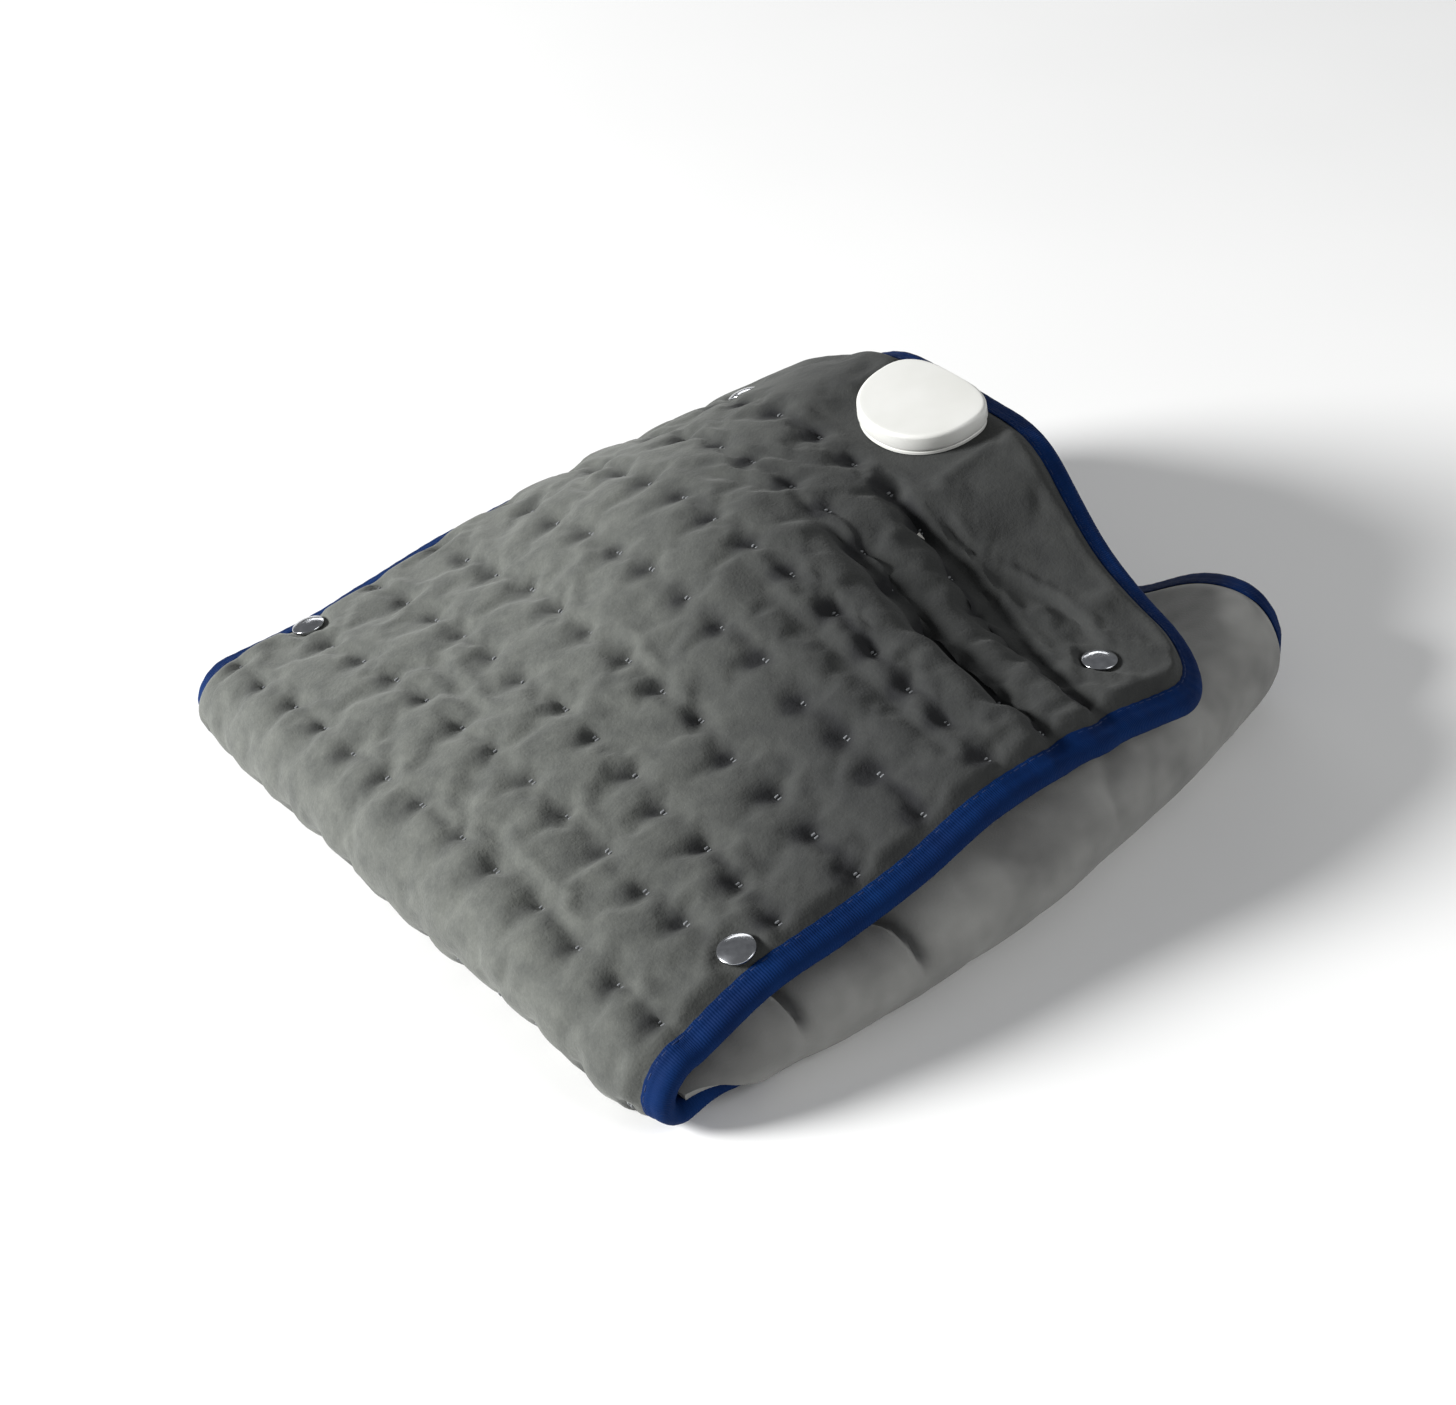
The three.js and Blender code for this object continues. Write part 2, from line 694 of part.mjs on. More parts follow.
// Holes under the connector for its neck and its screws.
function connectorHoles(room) {
  const low = -coverFace;
  const neck = eggBody([
    [neckInset - room, low],
    [neckInset - room, overrun],
  ], neckSides);
  const screws = screwPlaces.map(([x, y]) => rod(screwRadius + room, low, overrun, x, y, holeSides));
  return [neck, ...screws].map((geometry) => geometry.applyMatrix4(connectorSpace));
}

function flapFrontCover() {
  const upper = (i, j) => {
    const across = fineColumns[j];
    const along = flapAlong(i, across);
    const quilted = i < flapInnerRows.length;
    const rimmed = onRim(fineColumns, j) || i > flapRowTotal - 3;
    const puffed = quilted ? coverPuff : coverFace;
    const body = quilted && isTuft(i, j) ? tuftFace : puffed;
    return place(along, across, rimmed ? edgeFace : pressedOff(along, across, body));
  };
  const lower = (i, j) => place(flapAlong(i, fineColumns[j]), fineColumns[j], frontInside);
  return cut(
    slab(flapRowTotal, fineColumns.length, upper, lower),
    [...snapHoles, ...connectorHoles(clearance)],
  );
}

// Fold cover with its two tuft rows: the rows are a quarter of the row pitch apart.
function foldFrontCover() {
  const quarter = (i) => Math.round((foldRows[i] - firstRowPlace) / foldRowStep);
  const upper = (i, j) => {
    const edge = i === 0 ? coverFace : coverPuff;
    const tufted = quarter(i) % 4 === 0 && j % 2 === 0;
    const off = onRim(fineColumns, j) ? edgeFace : tufted ? tuftFace : edge;
    return place(foldRows[i], fineColumns[j], off);
  };
  const lower = (i, j) => place(foldRows[i], fineColumns[j], frontInside);
  return slab(foldRows.length, fineColumns.length, upper, lower);
}

// Plain layer between two distances off the middle surface; rims are thinner under the binding.
function layer(rowTotal, columns, alongOf, outside, inside) {
  const face = (off) => (i, j) => place(alongOf(i, columns[j]), columns[j], off);
  return slab(rowTotal, columns.length, face(outside), face(inside));
}

function rimmedCover(rowTotal, columns, alongOf, outside, inside, lastRimRows) {
  const upper = (i, j) => {
    const rimmed = onRim(columns, j) || i >= rowTotal - lastRimRows;
    const off = rimmed ? Math.sign(outside) * edgeFace : outside;
    return place(alongOf(i, columns[j]), columns[j], off);
  };
  const lower = (i, j) => place(alongOf(i, columns[j]), columns[j], inside);
  return slab(rowTotal, columns.length, upper, lower);
}

// Binding: a folded tape whose section follows the sheet's outline; its legs bend at the given insets.
function bindingSection(bends) {
  const outer = [bindingWidth, ...bends, bindingRound];
  const inner = [bindingWidth, ...bends, bindingRim];
  const back = (insets) => [...insets].reverse();
  return [
    ...outer.map((inset) => [inset, bindingFace]),
    [0, bindingFace - bindingRound],
    [0, bindingRound - bindingFace],
    ...back(outer).map((inset) => [inset, -bindingFace]),
    ...inner.map((inset) => [inset, bindingTape - bindingFace]),
    ...back(inner).map((inset) => [inset, bindingFace - bindingTape]),
  ];
}

// Stations of the outline: each gives the place in the sheet at an inset from the rim.
function sideStations(total, alongOf, side) {
  return Array.from({ length: total }, (_, i) => (inset) => {
    const across = halfWidth - inset;
    return [alongOf(i, across), side * across];
  });
}

function endStations(end, columns) {
  const direction = Math.sign(end);
  const corner = cornerRadius;
  const around = (side, k) => (inset) => {
    const angle = (Math.PI / 2) * (k / cornerSteps);
    const radius = corner - inset;
    return [
      end - direction * (corner - radius * Math.sin(angle)),
      side * (halfWidth - corner + radius * Math.cos(angle)),
    ];
  };
  const steps = Array.from({ length: cornerSteps + 1 }, (_, k) => k);
  const straight = columns.filter((v) => Math.abs(v) < halfWidth - corner - clearance);
  return [
    ...steps.map((k) => around(-1, k)),
    ...straight.map((across) => (inset) => [end - direction * inset, across]),
    ...steps.map((k) => around(1, k)).reverse(),
  ];
}

function binding(stations, bends = []) {
  const points = [];
  const triangles = [];
  const outline = bindingSection(bends);
  const count = outline.length;
  for (const at of stations) {
    points.push(...outline.map(([inset, off]) => place(...at(inset), off)));
  }
  for (let i = 0; i < stations.length - 1; i += 1) {
    for (let k = 0; k < count; k += 1) {
      const next = (k + 1) % count;
      const a = i * count + k;
      const b = i * count + next;
      if (outline[next][0] < outline[k][0]) {
        triangles.push([a, b, a + count], [b, b + count, a + count]);
      } else {
        triangles.push([a, b, b + count], [a, b + count, a + count]);
      }
    }
  }
  const last = (stations.length - 1) * count;
  const section = outline.map(([inset, off]) => new THREE.Vector2(inset, off));
  for (const [a, b, c] of THREE.ShapeUtils.triangulateShape(section, [])) {
    triangles.push([a, c, b], [last + a, last + b, last + c]);
  }
  return closedBody(points, triangles);
}

// Binding of one half: up its near side, round its end and back down its far side.
function halfBinding(sideTotal, alongOf, end, columns, bends) {
  const side = (sign) => sideStations(sideTotal, alongOf, sign);
  return binding([...side(-1), ...endStations(end, columns), ...side(1).reverse()], bends);
}

// Heating wire: lanes along the sheet that turn round at their ends, as one unbroken run.
const [nearLane, innerNearLane, innerFarLane, farLane] = wireLaneColumns;
const wireOff = (carrierTop + waddingUnder) / 2;

// A run through the given lanes: each lane goes from one row to another by the rows between them, and
// crosses to the next lane along its last row.
function wireRoute(lanes, rows, columnStep) {
  const points = [];
  lanes.forEach(({ column, from, to }, k) => {
    const step = Math.sign(to - from);
    for (let i = from; i !== to + step; i += step) {
      points.push([rows[i], column]);
    }
    if (k < lanes.length - 1) {
      const crossing = lanes[k + 1].column - column;
      const steps = Math.round(Math.abs(crossing) / columnStep);
      for (let n = 1; n < steps; n += 1) {
        points.push([rows[to], column + (crossing * n) / steps]);
      }
    }
  });
  return points.map(([along, column]) => place(along, column * columnPitch, wireOff));
}

// Round wire whose sections stand exactly at the given points.
function wire(points) {
  const curve = new THREE.CatmullRomCurve3(points, false, "centripetal");
  curve.getUtoTmapping = (share) => share;
  const section = new THREE.Shape(Array.from({ length: wireSides }, (_, k) => {
    const angle = (2 * Math.PI * k) / wireSides;
    return new THREE.Vector2(Math.cos(angle), Math.sin(angle)).multiplyScalar(wireDiameter / 2);
  }));
  return bare(new THREE.ExtrudeGeometry(section, {
    steps: points.length - 1,
    extrudePath: curve,
    bevelEnabled: false,
  }));
}

// Layers inside the flap and the base stop short of the rims, the snap stems and the connector.
const innerColumns = plainColumns.filter((v) => Math.abs(v) < halfWidth - layerInset);
const innerRollColumns = rollColumns.filter((v) => Math.abs(v) < halfWidth - layerInset);
const flapWireRows = flapInnerRows;
const baseWireRows = baseInnerRows.slice(0, -1);

function addSheet() {
  const rimRows = 2;
  const foldAlong = (i) => foldRows[i];
  const flapLayer = (i) => flapInnerRows[i];
  const flapBack = rimmedCover(flapRowTotal, plainColumns, flapAlong, backFace, backInside, rimRows);
  const foldBack = rimmedCover(foldRows.length, plainColumns, foldAlong, backFace, backInside, 0);
  const baseFront = rimmedCover(baseRowTotal, rollColumns, baseAlong, coverFace, frontInside, rimRows);
  const baseBack = rimmedCover(baseRowTotal, rollColumns, baseAlong, backFace, backInside, rimRows);
  addPiece("flap_front_cover", flapFrontCover(), plush);
  addPiece("flap_back_cover", cut(flapBack, snapHoles), backCloth);
  addPiece("fold_front_cover", foldFrontCover(), plush);
  addPiece("fold_back_cover", foldBack, backCloth);
  addPiece("base_front_cover", baseFront, plush);
  addPiece("base_back_cover", baseBack, backCloth);
  for (const [name, top, under, finish] of [
    ["wadding", waddingTop, waddingUnder, fleece],
    ["heating_felt", carrierTop, carrierUnder, felt],
  ]) {
    addPiece(`flap_${name}`, layer(flapInnerRows.length, innerColumns, flapLayer, top, under), finish);
    addPiece(`base_${name}`, layer(baseInnerRows.length, innerRollColumns, baseAlong, top, under), finish);
  }
}

function addBindings() {
  const flapSides = flapInnerRows.length + flapEndRowShares.length;
  const bends = [bindingWidth / 2];
  addPiece("flap_binding", halfBinding(flapSides, flapAlong, flapReach, fineColumns, []), tape);
  addPiece("base_binding", halfBinding(
    baseInnerRows.length, baseAlong, -baseReach, rollColumns, bends,
  ), tape);
  for (const [name, side] of [["near", -1], ["far", 1]]) {
    const crossing = sideStations(foldRows.length, (i) => foldRows[i], side);
    addPiece(`fold_binding_${name}`, binding(crossing), tape);
  }
}

function addHeating() {
  const flapLast = flapWireRows.length - 1;
  const baseLast = baseWireRows.length - 1;
  addPiece("flap_heating_wire", wire(wireRoute([
    { column: innerFarLane, from: flapLast, to: 1 },
    { column: innerNearLane, from: 1, to: flapLast - 1 },
    { column: nearLane, from: flapLast - 1, to: 0 },
  ], flapWireRows, 1)), siliconeWire);
  addPiece("flap_return_wire", wire(wireRoute([
    { column: farLane, from: 0, to: flapLast },
  ], flapWireRows, 1)), siliconeWire);
  addPiece("base_heating_wire", wire(wireRoute([
    { column: nearLane, from: 0, to: baseLast },
    { column: innerNearLane, from: baseLast, to: 2 },
    { column: innerFarLane, from: 2, to: baseLast },
    { column: farLane, from: baseLast, to: 0 },
  ], baseWireRows, rollColumnStep / columnPitch)), siliconeWire);
  for (const [name, column] of [["near", nearLane], ["far", farLane]]) {
    const crossing = foldRows.map((along) => place(along, column * columnPitch, wireOff));
    addPiece(`fold_wire_${name}`, wire(crossing), siliconeWire);
  }
  addPiece("temperature_sensor", rod(sensorDiameter / 2, 0, sensorLength, 0, 0)
    .rotateY(Math.PI / 2)
    .applyMatrix4(sheetFrame(sensorPlace, sensorAcross, wireOff)), darkPlastic);
}

// Leads: from the ends of the flap's wires, past the back screw, up into the connector.
function addLeads() {
  const start = flapWireRows.at(-1) + wireDiameter / 2;
  const passAlong = connectorPlace + screwPlaces[0][0];
  const holeAlong = connectorPlace + leadHolePlace;
  const passOff = screwHeadRadius + wireDiameter + clearance;
  const up = connectorSeat + connectorBaseHeight - clearance;
  const lead = (across, side) => {
    const passAcross = connectorAcross + side * passOff;
    const holeAcross = connectorAcross + side * wireDiameter;
    const approach = leadStepShares.map((share) => [
      THREE.MathUtils.lerp(start, passAlong - wireDiameter, Math.sqrt(share)),
      THREE.MathUtils.lerp(across, passAcross, share),
    ]);
    return wire([
      ...approach.map(([along, v]) => place(along, v, wireOff)),
      place(passAlong + screwHeadRadius, passAcross, wireOff),
      place(holeAlong - wireDiameter, holeAcross, wireOff),
      place(holeAlong, holeAcross, wireOff + wireDiameter),
      place(holeAlong, holeAcross, up),
    ]);
  };
  addPiece("lead_live", lead(innerFarLane * columnPitch, -1), siliconeWire);
  addPiece("lead_return", lead(farLane * columnPitch, 1), siliconeWire);
}

// Snap fastener: a domed cap whose stem goes through the sheet to a stud or a socket at the back.
function addSnaps() {
  const stemEnd = backFace;
  const backTop = backFace - 2 * clearance;
  const backEnd = backTop - snapBackHeight;
  const cap = turned([
    [0, stemEnd],
    [snapStemRadius, stemEnd],
    [snapStemRadius, snapSeat],
    [snapRadius, snapSeat],
    ...snapDomeShares.map(([out, up]) => [snapRadius * out, snapSeat + snapDome * up]),
    [0, snapSeat + snapDome],
  ]);
  const backMiddle = backEnd + snapBackHeight / 2;
  const backs = {
    stud: turned([
      [0, backMiddle - studHeight],
      [studRadius, backMiddle - studHeight],
      [studRadius, backMiddle],
      [snapBackRadius, backMiddle],
      [snapBackRadius, backTop],
      [0, backTop],
    ]),
    socket: turned([
      [0, backMiddle],
      [studRadius + clearance, backMiddle],
      [studRadius + clearance, backEnd],
      [snapBackRadius, backEnd],
      [snapBackRadius, backTop],
      [0, backTop],
    ]),
  };
  for (const { name, along, across, part } of snaps) {
    const frame = sheetFrame(along, across, 0);
    addPiece(`snap_cap_${name}`, cap.clone().applyMatrix4(frame), polishedSteel);
    addPiece(`snap_${part}_${name}`, backs[part].clone().applyMatrix4(frame), polishedSteel);
  }
}

// Connector, built in its own frame: its flange lies on the cover, and its neck goes through it.
const leadHolePlace = -connectorBackLength / 3;
const capLow = connectorBaseHeight + clearance;
const capCeiling = connectorHeight - connectorWall;

function connectorCap(screwTop) {
  const shell = eggBody([
    [connectorCrown, capLow],
    [0, capLow + connectorRound],
    [connectorCrown, connectorHeight - connectorRound],
    [connectorRound, connectorHeight - connectorCrown],
    [2 * connectorRound, connectorHeight],
  ]);
  const hollow = eggBody([
    [connectorWall + connectorCrown, capLow - overrun],
    [connectorWall + connectorCrown, capCeiling],
  ]);
  const mouth = block(
    2 * connectorFrontLength, mouthWidth, overrun + capCeiling,
    connectorFrontLength, 0, (capCeiling - overrun) / 2,
  );
  const bosses = screwPlaces.map(([x, y]) => (
    rod(screwBossRadius, capLow, capCeiling + connectorWall / 2, x, y)
  ));
  const bores = screwPlaces.map(([x, y]) => (
    rod(screwRadius + clearance, capLow - overrun, screwTop + clearance, x, y)
  ));
  return cut(joined(cut(shell, [hollow, mouth]), bosses), bores);
}

function addConnector() {
  const housing = new THREE.Group();
  housing.applyMatrix4(connectorSpace);
  pad.add(housing);
  const addHoused = (name, geometry, finish) => housing.add(addPiece(name, geometry, finish));
  const plateTop = frontInside - connectorSeat - clearance;
  const plateLow = plateTop - plateThickness;
  const headTop = plateLow - clearance;
  const screwTop = headTop + screwLength;
  const screwHoles = () => screwPlaces.map(([x, y]) => (
    rod(screwRadius + clearance, plateLow - overrun, overrun, x, y, holeSides)
  ));
  addHoused("connector_cap", connectorCap(screwTop), whitePlastic);

  const flange = eggBody([
    [connectorCrown, 0],
    [connectorCrown, connectorBaseHeight],
  ]);
  const neck = eggBody([
    [neckInset, plateLow],
    [neckInset, connectorBaseHeight],
  ], neckSides);
  const leadHole = rod(leadHoleRadius, plateLow - overrun, overrun, leadHolePlace, 0);
  addHoused("connector_base", cut(joined(flange, [neck]), [...screwHoles(), leadHole]), whitePlastic);
  const plate = eggBody([
    [plateInset, plateLow],
    [plateInset, plateTop],
  ]);
  const plateHole = eggBody([
    [neckInset - clearance, plateLow - overrun],
    [neckInset - clearance, plateTop + overrun],
  ], neckSides);
  addHoused("connector_clamp_plate", cut(plate, [plateHole, ...screwHoles()]), whitePlastic);
  screwPlaces.forEach(([x, y], k) => {
    addHoused(`connector_screw_${k + 1}`, turned([
      [0, headTop - screwHeadHeight],
      [screwHeadRadius, headTop - screwHeadHeight],
      [screwHeadRadius, headTop],
      [screwRadius, headTop],
      [screwRadius, screwTop],
      [0, screwTop],
    ]).translate(x, y, 0), polishedSteel);
  });

  const boardTop = capLow + boardThickness;
  const blockMiddle = boardFront + clearance + pinBlockLength / 2;
  const pinHeight = capLow + pinBlockHeight / 2;
  const pinPlaces = Array.from({ length: pinCount }, (_, k) => (k - (pinCount - 1) / 2) * pinPitch);
  const hole = pinSize + 2 * clearance;
  addHoused("circuit_board", block(
    boardLength, boardWidth, boardThickness,
    boardFront - boardLength / 2, 0, capLow + boardThickness / 2,
  ), boardLaminate);
  addHoused("pin_block", cut(
    block(pinBlockLength, (pinCount + 1) * pinPitch, pinBlockHeight, blockMiddle, 0, pinHeight),
    pinPlaces.map((y) => block(2 * pinBlockLength, hole, hole, blockMiddle, y, pinHeight)),
  ), darkPlastic);
  pinPlaces.forEach((y, k) => {
    addHoused(`contact_pin_${k + 1}`, block(
      pinLength, pinSize, pinSize, blockMiddle + pinReach, y, pinHeight,
    ), brass);
  });
  addHoused("thermal_fuse", rod(fuseDiameter / 2, -fuseLength / 2, fuseLength / 2, 0, 0)
    .rotateX(Math.PI / 2)
    .translate(boardFront - boardLength / 2, 0, boardTop + clearance + fuseDiameter / 2), polishedSteel);
}

addSheet();
addBindings();
addHeating();
addSnaps();
addConnector();
addLeads();
pad.position.set(-restFaceX, -restFaceY, 0);

export default pad;
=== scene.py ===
"""Folded heating pad: its looks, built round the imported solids.

The pad is one quilted sheet. Every place in it has two parameters, its distance along the sheet from
the fold and its distance across from the middle, and a height off the middle surface. The covers, the
tape and the stitches are all surfaces in these parameters. Sizes are in millimetres until a mesh is made.
"""
import json
import math

import bmesh
import bpy
import numpy as np
from mathutils import Matrix, Vector


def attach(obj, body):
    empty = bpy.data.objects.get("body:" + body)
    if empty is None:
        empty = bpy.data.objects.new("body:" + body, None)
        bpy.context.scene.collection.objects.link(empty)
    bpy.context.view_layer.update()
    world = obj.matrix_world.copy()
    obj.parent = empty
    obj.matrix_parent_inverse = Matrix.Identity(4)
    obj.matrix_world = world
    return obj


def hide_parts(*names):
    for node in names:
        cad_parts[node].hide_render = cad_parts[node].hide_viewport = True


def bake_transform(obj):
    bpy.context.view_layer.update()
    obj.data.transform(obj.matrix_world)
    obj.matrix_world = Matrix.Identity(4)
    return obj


bl_info = {
    "name": "Folded heating pad",
    "version": (1, 0, 0),
    "blender": (4, 5, 0),
    "location": "View3D > Sidebar > Heating pad",
    "description": "Builds the covers, tape, stitches, snaps and power inlet of a folded heating pad",
    "category": "Object",
}

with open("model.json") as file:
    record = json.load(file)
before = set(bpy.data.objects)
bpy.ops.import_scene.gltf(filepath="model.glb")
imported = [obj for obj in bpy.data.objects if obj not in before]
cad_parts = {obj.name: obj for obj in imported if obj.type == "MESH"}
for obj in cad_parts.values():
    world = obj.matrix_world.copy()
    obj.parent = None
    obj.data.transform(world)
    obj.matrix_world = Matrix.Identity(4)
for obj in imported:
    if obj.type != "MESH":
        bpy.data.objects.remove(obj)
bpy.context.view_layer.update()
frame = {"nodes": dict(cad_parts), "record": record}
MM = 0.001

# Sizes of the sheet, as in the part's source.
COLUMN_COUNT = 13
COLUMN_PITCH = 22.0
SIDE_MARGIN = 16.0
ROW_PITCH = 31.2
FIRST_ROW = -9.0
FLAP_ROWS_OF_TUFTS = 9
BASE_ROWS_OF_TUFTS = 9
FLAP_REACH = 304.0
BASE_REACH = 330.0
FOLD_HALF_ARC = 23.0
CORNER_RADIUS = 38.0
PAD_WIDTH = (COLUMN_COUNT - 1) * COLUMN_PITCH + 2 * SIDE_MARGIN
HALF_WIDTH = PAD_WIDTH / 2
FOLD_START = FIRST_ROW - ROW_PITCH / 2

# The fold, the flap's heights and its gathers.
FOLD_TOP = 15.0
FOLD_BOTTOM = 9.0
FOLD_SWELL_SHARE = 0.95
CREST = 80.0
FLAP_STATION_SHARES = [0.073, 0.176, 0.278, 0.381, 0.484, 0.586, 0.689, 0.791, 1]
FLAP_HEIGHT_SHARES = [
    [0.31, 0.38, 0.41, 0.37, 0.28],
    [0.45, 0.46, 0.51, 0.45, 0.30],
    [0.49, 0.52, 0.58, 0.51, 0.36],
    [0.55, 0.61, 0.69, 0.60, 0.43],
    [0.65, 0.73, 0.85, 0.75, 0.48],
    [0.67, 0.77, 0.94, 0.85, 0.51],
    [0.66, 0.69, 0.93, 0.89, 0.52],
    [0.64, 0.62, 0.89, 0.93, 0.52],
    [0.53, 0.74, 1.03, 0.97, 0.55],
]
GATHER_START, GATHER_LENGTH, GATHER_SHARE = 116.0, 60.0, 0.23
WRINKLE_DEPTH, WRINKLE_BACK, WRINKLE_LENGTH, WRINKLE_FADE = 2.9, 58.0, 84.0, 31.0
WRINKLE_WIDTH_SHARE = 0.7
ROW_LEAN, LEAN_SIDE, LEAN_POWER, LEAN_START, LEAN_LENGTH = 15.0, 60.0, 1.3, 38.0, 46.0

# The base's rolled margin.
ROLL_RADIUS, ROLL_TURN, NEAR_OVERHANG, TUCK, ROLL_FALL, ROLL_LEAD = 15.0, math.pi, 163.0, 30.0, 78.0, 58.0
ROLL_LEAD_SHARES = [0, 0.26, 0.58, 1]
ROLL_RUN_SHARES = [0.12, 0.235, 0.36, 0.52, 0.655, 0.77, 0.915, 1]
ROLL_TURN_SHARES = [0, 0.39, 0.88, 1, 1, 1, 1, 1, 1, 1, 1, 1]
ROLL_RADIUS_SHARES = [0.51, 0.51, 0.51, 0.54, 0.67, 0.85, 0.93, 0.93, 0.88, 0.88, 0.97, 1.03]
NEAR_PLACE_SHARES = [0.908, 0.915, 0.935, 0.955, 0.965, 0.97, 0.96, 0.915, 0.87, 0.83, 0.765, 0.7]
TUCK_SHARES = [0.05, 0.05, 0.05, 0.1, 0.2, 0.25, 0.25, 0.3, 0.4, 0.5, 0.8, 1]
FALL_SHARES = [0.4, 0.4, 0.4, 0.5, 0.7, 0.9, 1, 1, 1, 1, 1, 1]
ROLL_SHORTEST = 4.0

# The connector and the snap fasteners.
CONNECTOR_ALONG, CONNECTOR_ACROSS = FLAP_REACH - 27.0, 22.0
CONNECTOR_BACK, CONNECTOR_FRONT, CONNECTOR_HALF_WIDTH = 26.0, 17.0, 25.6
CONNECTOR_SEAT, SEAT_SPREAD = 6.3, 38.0
SNAP_RADIUS, SNAP_SEAT = 6.4, 6.4
FOLD_SNAP = FIRST_ROW + 2 * ROW_PITCH
END_SNAP, END_SNAP_ACROSS = FLAP_REACH - 49.0, HALF_WIDTH - 34.0
SNAPS = {
    "fold_near": (FOLD_SNAP, SIDE_MARGIN - HALF_WIDTH, "stud"),
    "fold_far": (FOLD_SNAP, HALF_WIDTH - SIDE_MARGIN, "stud"),
    "end_near": (END_SNAP, -END_SNAP_ACROSS, "socket"),
    "end_far": (END_SNAP, END_SNAP_ACROSS, "socket"),
}

# Where the row's origin is, counted from the fold and from the middle of the width.
REST_FACE = np.array([150.0, 40.0, 0.0])

# The lattice on which the middle surface is worked out.
LATTICE_COLUMNS, FINE_STEPS = 48, 8
BASE_ROWS, FOLD_ROWS, FLAP_ROWS = 46, 8, 40
BASE_SPAN = BASE_REACH - FOLD_HALF_ARC
ACROSS_SHARES = 2 * np.arange(LATTICE_COLUMNS + 1) / LATTICE_COLUMNS - 1


def smooth(t):
    """Eased step: 0 below 0, 1 above 1, and 3t^2 - 2t^3 between."""
    c = np.clip(t, 0, 1)
    return c * c * (3 - 2 * c)


def unit(vectors):
    """Vectors of length 1 in the same directions."""
    return vectors / np.linalg.norm(vectors, axis=-1, keepdims=True)


def through(stations, values, at):
    """Cubic through a table of values; the slope at each station comes from its two neighbours."""
    s, v, at = (np.asarray(x, float) for x in (stations, values, at))
    last = len(s) - 1
    low = np.maximum(np.arange(last + 1) - 1, 0)
    high = np.minimum(np.arange(last + 1) + 1, last)
    tail = (1,) * (v.ndim - 1)
    slope = (v[high] - v[low]) / (s[high] - s[low]).reshape(-1, *tail)
    k = np.searchsorted(s[1:last], at)
    width = (s[k + 1] - s[k]).reshape(at.shape + tail)
    t = np.clip((at - s[k]).reshape(at.shape + tail) / width, 0, 1)
    rise = v[k + 1] - v[k]
    bend_in, bend_out = slope[k] * width - rise, rise - slope[k + 1] * width
    return v[k] + t * rise + t * (1 - t) * ((1 - t) * bend_in + t * bend_out)


def row_lean(along, across):
    """How far the tuft rows lean back to the fold: a power of the distance from the far side, eased in."""
    side = np.clip((LEAN_SIDE - across) / (LEAN_SIDE + HALF_WIDTH - SIDE_MARGIN), 0, 1) ** LEAN_POWER
    return -ROW_LEAN * side * smooth((along - LEAN_START) / LEAN_LENGTH)


def flap_heights(along):
    """Heights of the flap's middle surface at rows along it, less a cosine wrinkle at each tuft row."""
    by_column = through([-1, -0.5, 0, 0.5, 1], np.transpose(FLAP_HEIGHT_SHARES), ACROSS_SHARES).T
    stations = np.array(FLAP_STATION_SHARES) * FLAP_REACH
    end = FLAP_REACH - WRINKLE_BACK
    start = end - WRINKLE_LENGTH
    held = smooth((along - start) / WRINKLE_FADE) * smooth((end - along) / WRINKLE_FADE)
    lean = row_lean(along[:, None], ACROSS_SHARES * HALF_WIDTH)
    wave = np.cos(2 * np.pi * (along[:, None] - lean - FIRST_ROW) / ROW_PITCH)
    near = np.sin(np.pi * np.clip(-ACROSS_SHARES, 0, 1)) ** WRINKLE_WIDTH_SHARE
    wrinkle = WRINKLE_DEPTH * wave * held[:, None] * near
    return CREST * through(stations, by_column, along) - wrinkle


def flap_lattice():
    """The flap's rows: each lattice step keeps its length as its height changes, both ways."""
    step = (FLAP_REACH - FOLD_HALF_ARC) / FLAP_ROWS
    along = FOLD_HALF_ARC + step * np.arange(FLAP_ROWS + 2)
    z = flap_heights(along)
    kept = 1 - GATHER_SHARE * smooth(-ACROSS_SHARES) * smooth((along - GATHER_START) / GATHER_LENGTH)[:, None]
    ahead = kept[:-1] * np.sqrt(step ** 2 - np.diff(z, axis=0) ** 2)
    x = FOLD_TOP + np.vstack([np.zeros_like(ahead[:1]), np.cumsum(ahead, axis=0)])
    run = np.sqrt((PAD_WIDTH / LATTICE_COLUMNS) ** 2 - np.diff(z, axis=1) ** 2)
    y = np.hstack([np.zeros_like(run[:, :1]), np.cumsum(run, axis=1)])
    y -= y[:, LATTICE_COLUMNS // 2, None]
    return np.stack([x, y, z], -1)[: FLAP_ROWS + 1]


